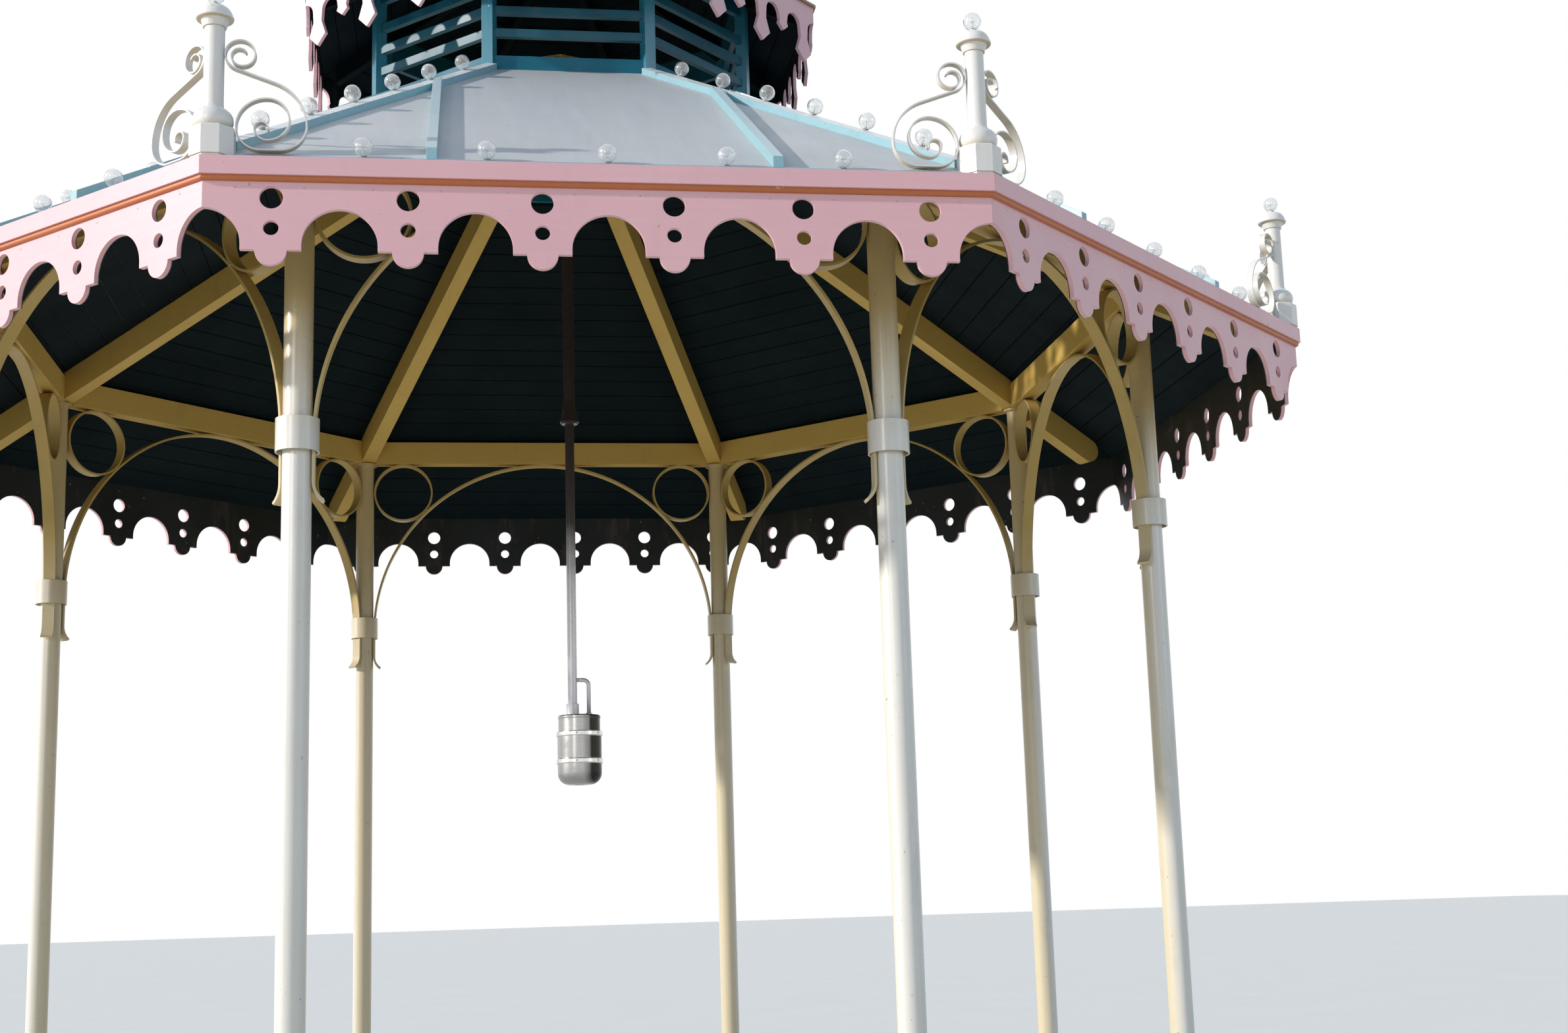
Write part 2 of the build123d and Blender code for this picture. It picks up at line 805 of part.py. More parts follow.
# Turret valance board of one side, with long and short pointed drops in turn
turret_side = 2 * turret_edge * tan_half
turret_drop_pitch = turret_side / turret_drops
turret_slot_r = turret_gap_w / 2
turret_band_low = turret_eave_z - turret_gap_drop - turret_slot_r
drop_half = (turret_drop_pitch - turret_gap_w) / 2
drop_places = [(i - (turret_drops - 1) / 2) * turret_drop_pitch for i in range(turret_drops)]


def drop_outline(middle, tip, head_w, head_h, neck_h):
    polygon([
        (middle - drop_half, turret_band_low + turret_slot_r),
        (middle - drop_half, turret_band_low),
        (middle - turret_neck_w / 2, tip + neck_h),
        (middle - head_w / 2, tip + head_h),
        (middle, tip),
        (middle + head_w / 2, tip + head_h),
        (middle + turret_neck_w / 2, tip + neck_h),
        (middle + drop_half, turret_band_low),
        (middle + drop_half, turret_band_low + turret_slot_r),
    ])


with BuildPart() as turret_valance:
    with BuildSketch(Plane.YZ.offset(turret_valance_back)):
        with Locations((0, turret_band_low)):
            Rectangle(turret_side, turret_eave_z - turret_band_low, align=(Align.CENTER, Align.MIN))
        with GridLocations(turret_drop_pitch, 0, turret_drops + 1, 1):
            with Locations((0, turret_band_low)):
                Circle(turret_slot_r, mode=Mode.SUBTRACT)
        for place in drop_places[0::2]:
            drop_outline(place, turret_eave_z - long_tip_drop, long_head_w, long_head_h, long_neck_h)
        for place in drop_places[1::2]:
            drop_outline(place, turret_eave_z - short_tip_drop, short_head_w, short_head_h, short_neck_h)
    extrude(amount=turret_valance_t)
    with BuildSketch(Plane.XY):
        wedge(mitre_gap / 2)
    extrude(amount=sky, mode=Mode.INTERSECT)
half_sides = sides / 2
at_sides = first_corner + half_turn
with BuildPart() as turret_valances:
    with PolarLocations(0, sides // 2, start_angle=at_sides - (half_sides - 1) * turn, angular_range=180):
        add(turret_valance.part)
    with PolarLocations(0, sides // 2, start_angle=at_sides + turn, angular_range=180):
        add(turret_valance.part.mirror(Plane.XZ))

# Turret hip capping
turret_cap_out = turret_skin_out / cos_half - turret_cap_half_w * tan_half
turret_cap_in = spire_base_r / cos_half + seat
with BuildPart() as turret_cap:
    with BuildSketch(upright(half_turn)):
        polygon([
            (0, turret_z(0)),
            (turret_edge, turret_z(turret_edge)),
            (turret_edge, turret_z(turret_edge, -turret_cap_t)),
            (0, turret_z(0, -turret_cap_t)),
        ])
    extrude(amount=reach, both=True)
    with BuildSketch(Plane.XY):
        with Locations((turret_cap_in, 0)):
            Rectangle(turret_cap_out - turret_cap_in, turret_cap_half_w, align=outward)
    extrude(amount=sky, mode=Mode.INTERSECT)
    mirror(about=Plane.XZ)

# Pendant: tube ending in a bell, then a thinner pipe and a ferrule
canister_top = canister_clear + canister_h
ferrule_top = canister_top + ferrule_h
bell_low = plate_top - bell_drop
with BuildPart() as pendant_rod:
    with BuildSketch(Plane.XZ):
        with BuildLine():
            low_run = Polyline(
                (pendant_x, hub_low),
                (pendant_x, canister_top + seat),
                (pendant_x + ferrule_r, canister_top + seat),
                (pendant_x + ferrule_r, ferrule_top),
                (pendant_x + pipe_r, ferrule_top),
                (pendant_x + pipe_r, bell_low - bell_ring_h),
                (pendant_x + bell_ring_r, bell_low - bell_ring_h),
                (pendant_x + bell_ring_r, bell_low),
                (pendant_x + bell_r, bell_low),
            )
            bell = ThreePointArc(
                low_run @ 1,
                (pendant_x + bell_waist_r, bell_low + bell_h / 2),
                (pendant_x + tube_r, bell_low + bell_h),
            )
            Polyline(bell @ 1, (pendant_x + tube_r, hub_low), (pendant_x, hub_low))
        make_face()
    revolve(axis=upright_axis(pendant_x))

# Canister: slimmer neck, two bands and a rounded bottom
canister_x = pendant_x + canister_off
neck_low = canister_top - band_high
with BuildPart() as canister:
    with Locations((canister_x, 0, canister_clear)):
        Cylinder(canister_r, canister_h - band_high, align=stand)
    with Locations((canister_x, 0, neck_low)):
        Cylinder(canister_top_r, band_high, align=stand)
    rims = canister.edges().filter_by(GeomType.CIRCLE).sort_by(Axis.Z)
    fillet(rims[0], canister_round)
    fillet(rims[-1], canister_lip)
    with Locations((canister_x, 0, neck_low), (canister_x, 0, canister_top - band_low)):
        Cylinder(canister_r + band_out, band_h)

# Stay bar from the pipe to the top of the canister
stay_x = pendant_x + stay_reach
stay_z = canister_top + stay_rise
with BuildPart() as stay:
    with BuildLine(Plane.XZ) as stay_path:
        arm = Line((pendant_x + pipe_r + seat, stay_z), (stay_x - stay_bend, stay_z))
        bend = JernArc(arm @ 1, arm % 1, stay_bend, -90)
        Line(bend @ 1, (stay_x, canister_top + seat))
    with BuildSketch(Plane(origin=arm @ 0, x_dir=(0, 1, 0), z_dir=(1, 0, 0))):
        Circle(stay_r)
    sweep(path=stay_path.line)

# Every piece, turned to its place
at_corners = first_corner
for k in range(sides):
    with BuildPart() as column_copy:
        with Locations(Location((0, 0, 0), (0, 0, at_corners + k * turn))):
            add(column.part)
    save(column_copy.part, "column_" + str(k + 1))
for k in range(sides):
    with BuildPart() as arch_copy:
        with Locations(Location((0, 0, 0), (0, 0, at_sides + k * turn))):
            add(arch.part)
    save(arch_copy.part, "arch_" + str(k + 1))
save(around(base.part, at_corners), "column_bases")
save(around(collar.part, at_corners), "column_collars")
save(around(beam, at_sides), "ring_beams")
save(around(bay_rings.part, at_sides), "spandrel_rings")
save(around(rafter.part, at_corners), "hip_rafters")
save(roof_hub.part, "roof_hub")
save(around(skin_slab(sheet_t, skin), at_sides), "ceiling_boards")
save(around(skin_slab(0, sheet_t), at_sides), "roof_sheets")
save(around(hip_cap.part, at_corners), "hip_caps")
save(around(battens.part, at_sides), "roof_battens")
save(around(valance.part, at_sides), "valance_boards")
save(around(fascia, at_sides), "fascia_boards")
save(around(bead.part, at_sides), "fascia_bead")
save(around(flashing, at_sides), "eave_flashing")
save(around(finial.part, at_corners), "corner_finials")
save(around(scroll.part, at_sides), "scroll_brackets")
save(lamp_set(socket.part), "lamp_sockets")
save(lamp_set(globe.part), "lamp_globes")
save(around(turret_post.part, at_corners), "turret_posts")
save(around(turret_board, at_sides), "turret_base_boards")
save(around(turret_rail.part, at_sides), "turret_rails")
save(around(turret_rafter.part, at_corners), "turret_rafters")
save(around(turret_slab(sheet_t, skin), at_sides), "turret_ceiling")
save(around(turret_slab(0, sheet_t), at_sides), "turret_roof_sheets")
save(around(turret_cap.part, at_corners), "turret_hip_caps")
save(turret_valances.part, "turret_valance")
save(around(turret_nosing, at_sides), "turret_nosing")
save(spire.part, "turret_spire")
save(pendant_rod.part, "pendant_rod")
save(canister.part + stay.part, "pendant_canister")
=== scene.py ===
import math
import random

import bpy
from mathutils import Matrix, Vector


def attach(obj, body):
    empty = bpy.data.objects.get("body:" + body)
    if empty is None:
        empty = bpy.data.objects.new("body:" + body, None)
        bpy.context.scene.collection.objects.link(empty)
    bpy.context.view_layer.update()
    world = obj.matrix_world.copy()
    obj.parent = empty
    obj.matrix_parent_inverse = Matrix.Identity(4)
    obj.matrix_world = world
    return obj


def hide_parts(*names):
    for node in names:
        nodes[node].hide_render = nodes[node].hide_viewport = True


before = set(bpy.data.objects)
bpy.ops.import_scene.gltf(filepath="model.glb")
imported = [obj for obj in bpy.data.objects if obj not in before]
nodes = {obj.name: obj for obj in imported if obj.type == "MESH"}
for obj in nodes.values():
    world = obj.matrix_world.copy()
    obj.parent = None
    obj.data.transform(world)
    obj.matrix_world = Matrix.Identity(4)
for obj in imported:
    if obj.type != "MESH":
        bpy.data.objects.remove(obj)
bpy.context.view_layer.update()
random.seed(7)
print("stage: frame loaded")

# Shared sizes in metres, the same values as the frame was built from
sides = 8
turn = math.radians(45)
firstCorner = math.radians(247.5)
cosHalf = math.cos(turn / 2)
sinHalf = math.sin(turn / 2)
tanHalf = math.tan(turn / 2)
seat = 0.0003
columnCircle = 3.048
columnRadius = 0.05715
plateTop = 4.274
pitch = math.radians(29.37)
hipAngle = math.atan(math.tan(pitch) * cosHalf)
rafterRise = 0.1435
sheetThickness = 0.006
skinThickness = 0.028
overhang = 0.714
eaveEdge = columnCircle * cosHalf + overhang
eaveHeight = plateTop + rafterRise + (skinThickness + seat) / math.cos(pitch) - math.tan(pitch) * overhang
valanceThickness = 0.022
valanceInset = 0.0126
valanceBack = eaveEdge - valanceInset - valanceThickness
fasciaRise = 0.005
fasciaTop = eaveHeight + fasciaRise
capHeight = 0.030
finialInset = 0.081
finialHeight = 0.613
finialRadius = eaveEdge / cosHalf - finialInset
finialTop = fasciaTop + finialHeight
turretCircle = 1.040
turretBoard = 0.015
turretOverhang = 0.3692
turretRise = 0.7883
turretFace = turretCircle * cosHalf + turretBoard
turretEdge = turretCircle * cosHalf + turretOverhang
canisterLow = 1.983
canisterBands = (0.120, 0.261)
anyTurn = 3.1  # random turn either way, nearly all round


# Height of the roof's top face at a distance from the axis, and of what lies under it
def roofZ(apothem, depth=0.0):
    return eaveHeight + math.tan(pitch) * (eaveEdge - apothem) - depth / math.cos(pitch)


turretEave = roofZ(turretFace) + turretRise - math.tan(pitch) * turretOverhang


# The same for the turret's roof
def turretZ(apothem, depth=0.0):
    return turretEave + math.tan(pitch) * (turretEdge - apothem) - depth / math.cos(pitch)


# A new material, with its node tree and its shader
def newMaterial(name):
    mat = bpy.data.materials.new(name)
    mat.use_nodes = True
    tree = mat.node_tree
    tree.nodes.clear()
    out = tree.nodes.new("ShaderNodeOutputMaterial")
    shader = tree.nodes.new("ShaderNodeBsdfPrincipled")
    tree.links.new(shader.outputs[0], out.inputs["Surface"])
    return mat, tree, shader


# Small steps of a node tree, each given back as its node or output
def node(tree, kind, **settings):
    added = tree.nodes.new(kind)
    for key, value in settings.items():
        setattr(added, key, value)
    return added


def mathNode(tree, operation, a, b=None):
    step = node(tree, "ShaderNodeMath", operation=operation)
    for socket, value in zip(step.inputs, (a, b)):
        if value is None:
            continue
        if isinstance(value, (int, float)):
            socket.default_value = value
        else:
            tree.links.new(value, socket)
    return step.outputs[0]


def noise(tree, vector, scale, detail=3.0, roughness=0.5):
    texture = node(tree, "ShaderNodeTexNoise")
    texture.inputs["Scale"].default_value = scale
    texture.inputs["Detail"].default_value = detail
    texture.inputs["Roughness"].default_value = roughness
    tree.links.new(vector, texture.inputs["Vector"])
    return texture.outputs["Fac"]


def ramp(tree, value, low, high, fromValue=0.0, toValue=1.0):
    slope = node(tree, "ShaderNodeMapRange", clamp=True)
    slope.inputs["From Min"].default_value = low
    slope.inputs["From Max"].default_value = high
    slope.inputs["To Min"].default_value = fromValue
    slope.inputs["To Max"].default_value = toValue
    tree.links.new(value, slope.inputs["Value"])
    return slope.outputs["Result"]


def mix(tree, factor, a, b):
    blend = node(tree, "ShaderNodeMix", data_type="RGBA")
    for socket, value in ((blend.inputs["Factor"], factor), (blend.inputs[6], a), (blend.inputs[7], b)):
        if isinstance(value, (int, float)):
            socket.default_value = value
        elif isinstance(value, (tuple, list)):
            socket.default_value = (*value[:3], 1.0)
        else:
            tree.links.new(value, socket)
    return blend.outputs[2]


def scaled(tree, vector, scale):
    stretch = node(tree, "ShaderNodeVectorMath", operation="MULTIPLY")
    tree.links.new(vector, stretch.inputs[0])
    stretch.inputs[1].default_value = scale
    return stretch.outputs[0]


def turned(tree, vector, angle):
    swing = node(tree, "ShaderNodeVectorRotate", rotation_type="Z_AXIS")
    tree.links.new(vector, swing.inputs["Vector"])
    tree.links.new(angle, swing.inputs["Angle"])
    return swing.outputs["Vector"]


def split(tree, vector):
    parts = node(tree, "ShaderNodeSeparateXYZ")
    tree.links.new(vector, parts.inputs[0])
    return parts.outputs


# Coordinates and normal of the side or corner a point belongs to: X outward, Y along, Z up
def sideCoords(tree, corner=False):
    coords = node(tree, "ShaderNodeTexCoord").outputs["Object"]
    parts = split(tree, coords)
    angle = mathNode(tree, "ARCTAN2", parts["Y"], parts["X"])
    shift = turn / 2 if corner else 0.0
    steps = mathNode(tree, "ROUND", mathNode(tree, "DIVIDE", mathNode(tree, "SUBTRACT", angle, shift), turn))
    centre = mathNode(tree, "ADD", mathNode(tree, "MULTIPLY", steps, turn), shift)
    back = mathNode(tree, "MULTIPLY", centre, -1.0)
    normal = node(tree, "ShaderNodeNewGeometry").outputs["Normal"]
    return turned(tree, coords, back), turned(tree, normal, back), steps


# Paint over wood or metal: patches, runs, dirt, chips, worn edges and fine relief, plus painted light and
# shade where a look asks for it
def paint(name, look):
    mat, tree, shader = newMaterial(name)
    local, normal, steps = sideCoords(tree, look["corner"])
    offset = node(tree, "ShaderNodeCombineXYZ")  # each side shifts the pattern, so that no two look alike
    tree.links.new(mathNode(tree, "MULTIPLY", steps, look["sideShift"]), offset.inputs["Z"])
    shifted = node(tree, "ShaderNodeVectorMath", operation="ADD")
    tree.links.new(local, shifted.inputs[0])
    tree.links.new(offset.outputs[0], shifted.inputs[1])
    place = shifted.outputs[0]
    facing = split(tree, normal)
    spot = split(tree, local)
    # Patches and streaks
    patches = noise(tree, place, look["patchScale"], 4.0, 0.6)
    patched = ramp(tree, patches, *look["patchRange"], 0.0, look["patch"])
    color = mix(tree, patched, look["color"], look["second"])
    grain = noise(tree, scaled(tree, place, look["grain"]), 1.0, 5.0, 0.62)
    streaked = ramp(tree, grain, *look["streakRange"], 0.0, look["streak"])
    color = mix(tree, streaked, color, look["streakColor"])
    # Second colours, all painted light and shade: lit tops, shaded undersides, shade and light by height,
    # shaded backs, then a dark painted reflection on one side and painted highlights on bands
    # Painted light: upward-facing tops turn paler, standing for sunlight on them
    if look.get("paintedLitTop"):
        color = mix(tree, ramp(tree, facing["Z"], *look["topRange"]), color, look["paintedLitTop"])
    # Painted shade: downward-facing faces turn warm tan, as shade lit by warm bounce
    if look.get("paintedUnderShade"):
        facingDown = mathNode(tree, "MULTIPLY", facing["Z"], -1.0)
        under = ramp(tree, facingDown, *look["underRange"], 0.0, look["under"])
        color = mix(tree, under, color, look["paintedUnderShade"])
    # Painted light and shade by height: tan shade on the upper columns, dark shade on the upper pipe, paler
    # sunlit low ends of the arches
    if look.get("paintedHeightShadeLight"):
        wave = mathNode(tree, "SUBTRACT", noise(tree, place, look["highWaveScale"]), 0.5)
        height = mathNode(tree, "ADD", spot["Z"], mathNode(tree, "MULTIPLY", wave, look["highWave"]))
        high = ramp(tree, height, look["highFrom"], look["highTo"], 0.0, look["high"])
        color = mix(tree, high, color, look["paintedHeightShadeLight"])
    # Painted shade on backs: inward-facing sides of columns turn tan, backs of valances nearly black
    if look.get("paintedBackShade"):
        facingIn = mathNode(tree, "MULTIPLY", facing["X"], -1.0)
        back = ramp(tree, facingIn, *look["backRange"], 0.0, look["back"])
        if look.get("backDepth"):
            behind = ramp(tree, spot["X"], look["backDepth"], look["backDepth"] - look["backFade"])
            back = mathNode(tree, "MAXIMUM", back, behind)
        color = mix(tree, back, color, look["paintedBackShade"])
    flat = node(tree, "ShaderNodeNewGeometry").outputs["Normal"]
    # Painted reflection: faces turned toward +X darken, standing for dark surroundings mirrored by the metal
    if look.get("paintedDarkReflection"):
        paintedReflectionMask = ramp(tree, split(tree, flat)["X"], *look["paintedDarkReflectionRange"])
        color = mix(tree, paintedReflectionMask, color, look["paintedDarkReflection"])
    # Painted highlight: a bright band at each given height
    for middle in look.get("bands", ()):
        off = mathNode(tree, "ABSOLUTE", mathNode(tree, "SUBTRACT", spot["Z"], middle))
        band = ramp(tree, off, *look["bandRange"], 0.0, look["band"])
        color = mix(tree, band, color, look["paintedBandHighlight"])
    # Dirt, chips and rubbed edges
    dirt = noise(tree, scaled(tree, place, look["dirtStretch"]), 1.0, 6.0, 0.7)
    dirty = ramp(tree, dirt, *look["dirtRange"], 0.0, look["dirt"])
    color = mix(tree, dirty, color, look["dirtColor"])
    specks = noise(tree, place, look["chipScale"], 3.0, 0.55)
    broad = noise(tree, place, look["chipScale"] * look["chipSpread"], 2.0, 0.5)
    chips = ramp(tree, specks, look["chipAt"], look["chipAt"] + look["chipFade"])
    chips = mathNode(tree, "MULTIPLY", chips, ramp(tree, broad, *look["chipRange"]))
    soften = node(tree, "ShaderNodeBevel", samples=4)
    soften.inputs["Radius"].default_value = look["edge"]
    bend = node(tree, "ShaderNodeVectorMath", operation="DOT_PRODUCT")
    tree.links.new(soften.outputs[0], bend.inputs[0])
    tree.links.new(flat, bend.inputs[1])
    edge = ramp(tree, bend.outputs["Value"], *look["edgeRange"])
    rub = mathNode(tree, "MULTIPLY", edge, ramp(tree, specks, *look["rubRange"], 0.0, look["wear"]))
    worn = mathNode(tree, "MAXIMUM", chips, rub)
    color = mix(tree, worn, color, look["chipColor"])
    tree.links.new(color, shader.inputs["Base Color"])
    # Gloss and relief
    smoother, rougher = look["rough"] - look["roughLess"], look["rough"] + look["roughMore"]
    rough = ramp(tree, patches, 0.3, 0.7, smoother, rougher)
    rough = mathNode(tree, "ADD", rough, mathNode(tree, "MULTIPLY", worn, look["wornRough"]))
    tree.links.new(rough, shader.inputs["Roughness"])
    shader.inputs["Specular IOR Level"].default_value = look["specular"]
    shader.inputs["Coat Weight"].default_value = look["coat"]
    shader.inputs["Coat Roughness"].default_value = look["coatRough"]
    shader.inputs["Metallic"].default_value = look["metallic"]
    fine = noise(tree, place, look["fineScale"], 2.0, 0.5)
    coarse = mathNode(tree, "MULTIPLY", grain, look["grainRelief"])
    relief = mathNode(tree, "ADD", coarse, mathNode(tree, "MULTIPLY", fine, look["fineRelief"]))
    relief = mathNode(tree, "SUBTRACT", relief, mathNode(tree, "MULTIPLY", worn, look["wornRelief"]))
    if look.get("waveRelief"):
        slow = noise(tree, scaled(tree, place, look["waveStretch"]), 1.0, 1.0, 0.4)
        relief = mathNode(tree, "ADD", relief, mathNode(tree, "MULTIPLY", slow, look["waveRelief"]))
    bump = node(tree, "ShaderNodeBump")
    bump.inputs["Strength"].default_value = look["bump"]
    bump.inputs["Distance"].default_value = look["bumpDepth"]
    tree.links.new(relief, bump.inputs["Height"])
    tree.links.new(soften.outputs[0], bump.inputs["Normal"])
    tree.links.new(bump.outputs[0], shader.inputs["Normal"])
    return mat


# What every paint has, unless its own look says otherwise
basePaint = {
    "corner": False, "sideShift": 3.7, "patchScale": 2.4, "patch": 0.5, "patchRange": (0.35, 0.68),
    "grain": (2.0, 3.0, 55.0), "streak": 0.25, "streakRange": (0.42, 0.75), "topRange": (0.45, 0.75),
    "under": 1.0, "underRange": (0.3, 0.8), "highWave": 0.25, "highWaveScale": 6.0,
    "back": 1.0, "backRange": (0.35, 0.6), "backFade": 0.002, "paintedDarkReflectionRange": (0.12, 0.48),
    "band": 0.85, "bandRange": (0.0145, 0.0125),
    "dirtStretch": (7.0, 7.0, 1.6), "dirt": 0.25, "dirtRange": (0.56, 0.8), "dirtColor": (0.2, 0.16, 0.11),
    "chipScale": 46.0, "chipSpread": 0.17, "chipAt": 0.7, "chipFade": 0.025, "chipRange": (0.5, 0.6),
    "chipColor": (0.33, 0.27, 0.2), "edge": 0.003, "edgeRange": (0.975, 0.90), "wear": 0.5,
    "rubRange": (0.47, 0.60), "rough": 0.38, "roughLess": 0.06, "roughMore": 0.09, "wornRough": 0.3,
    "specular": 0.5, "coat": 0.15, "coatRough": 0.25, "metallic": 0.0, "fineScale": 260.0,
    "grainRelief": 0.6, "fineRelief": 0.15, "wornRelief": 0.35, "bump": 0.35, "bumpDepth": 0.002,
}
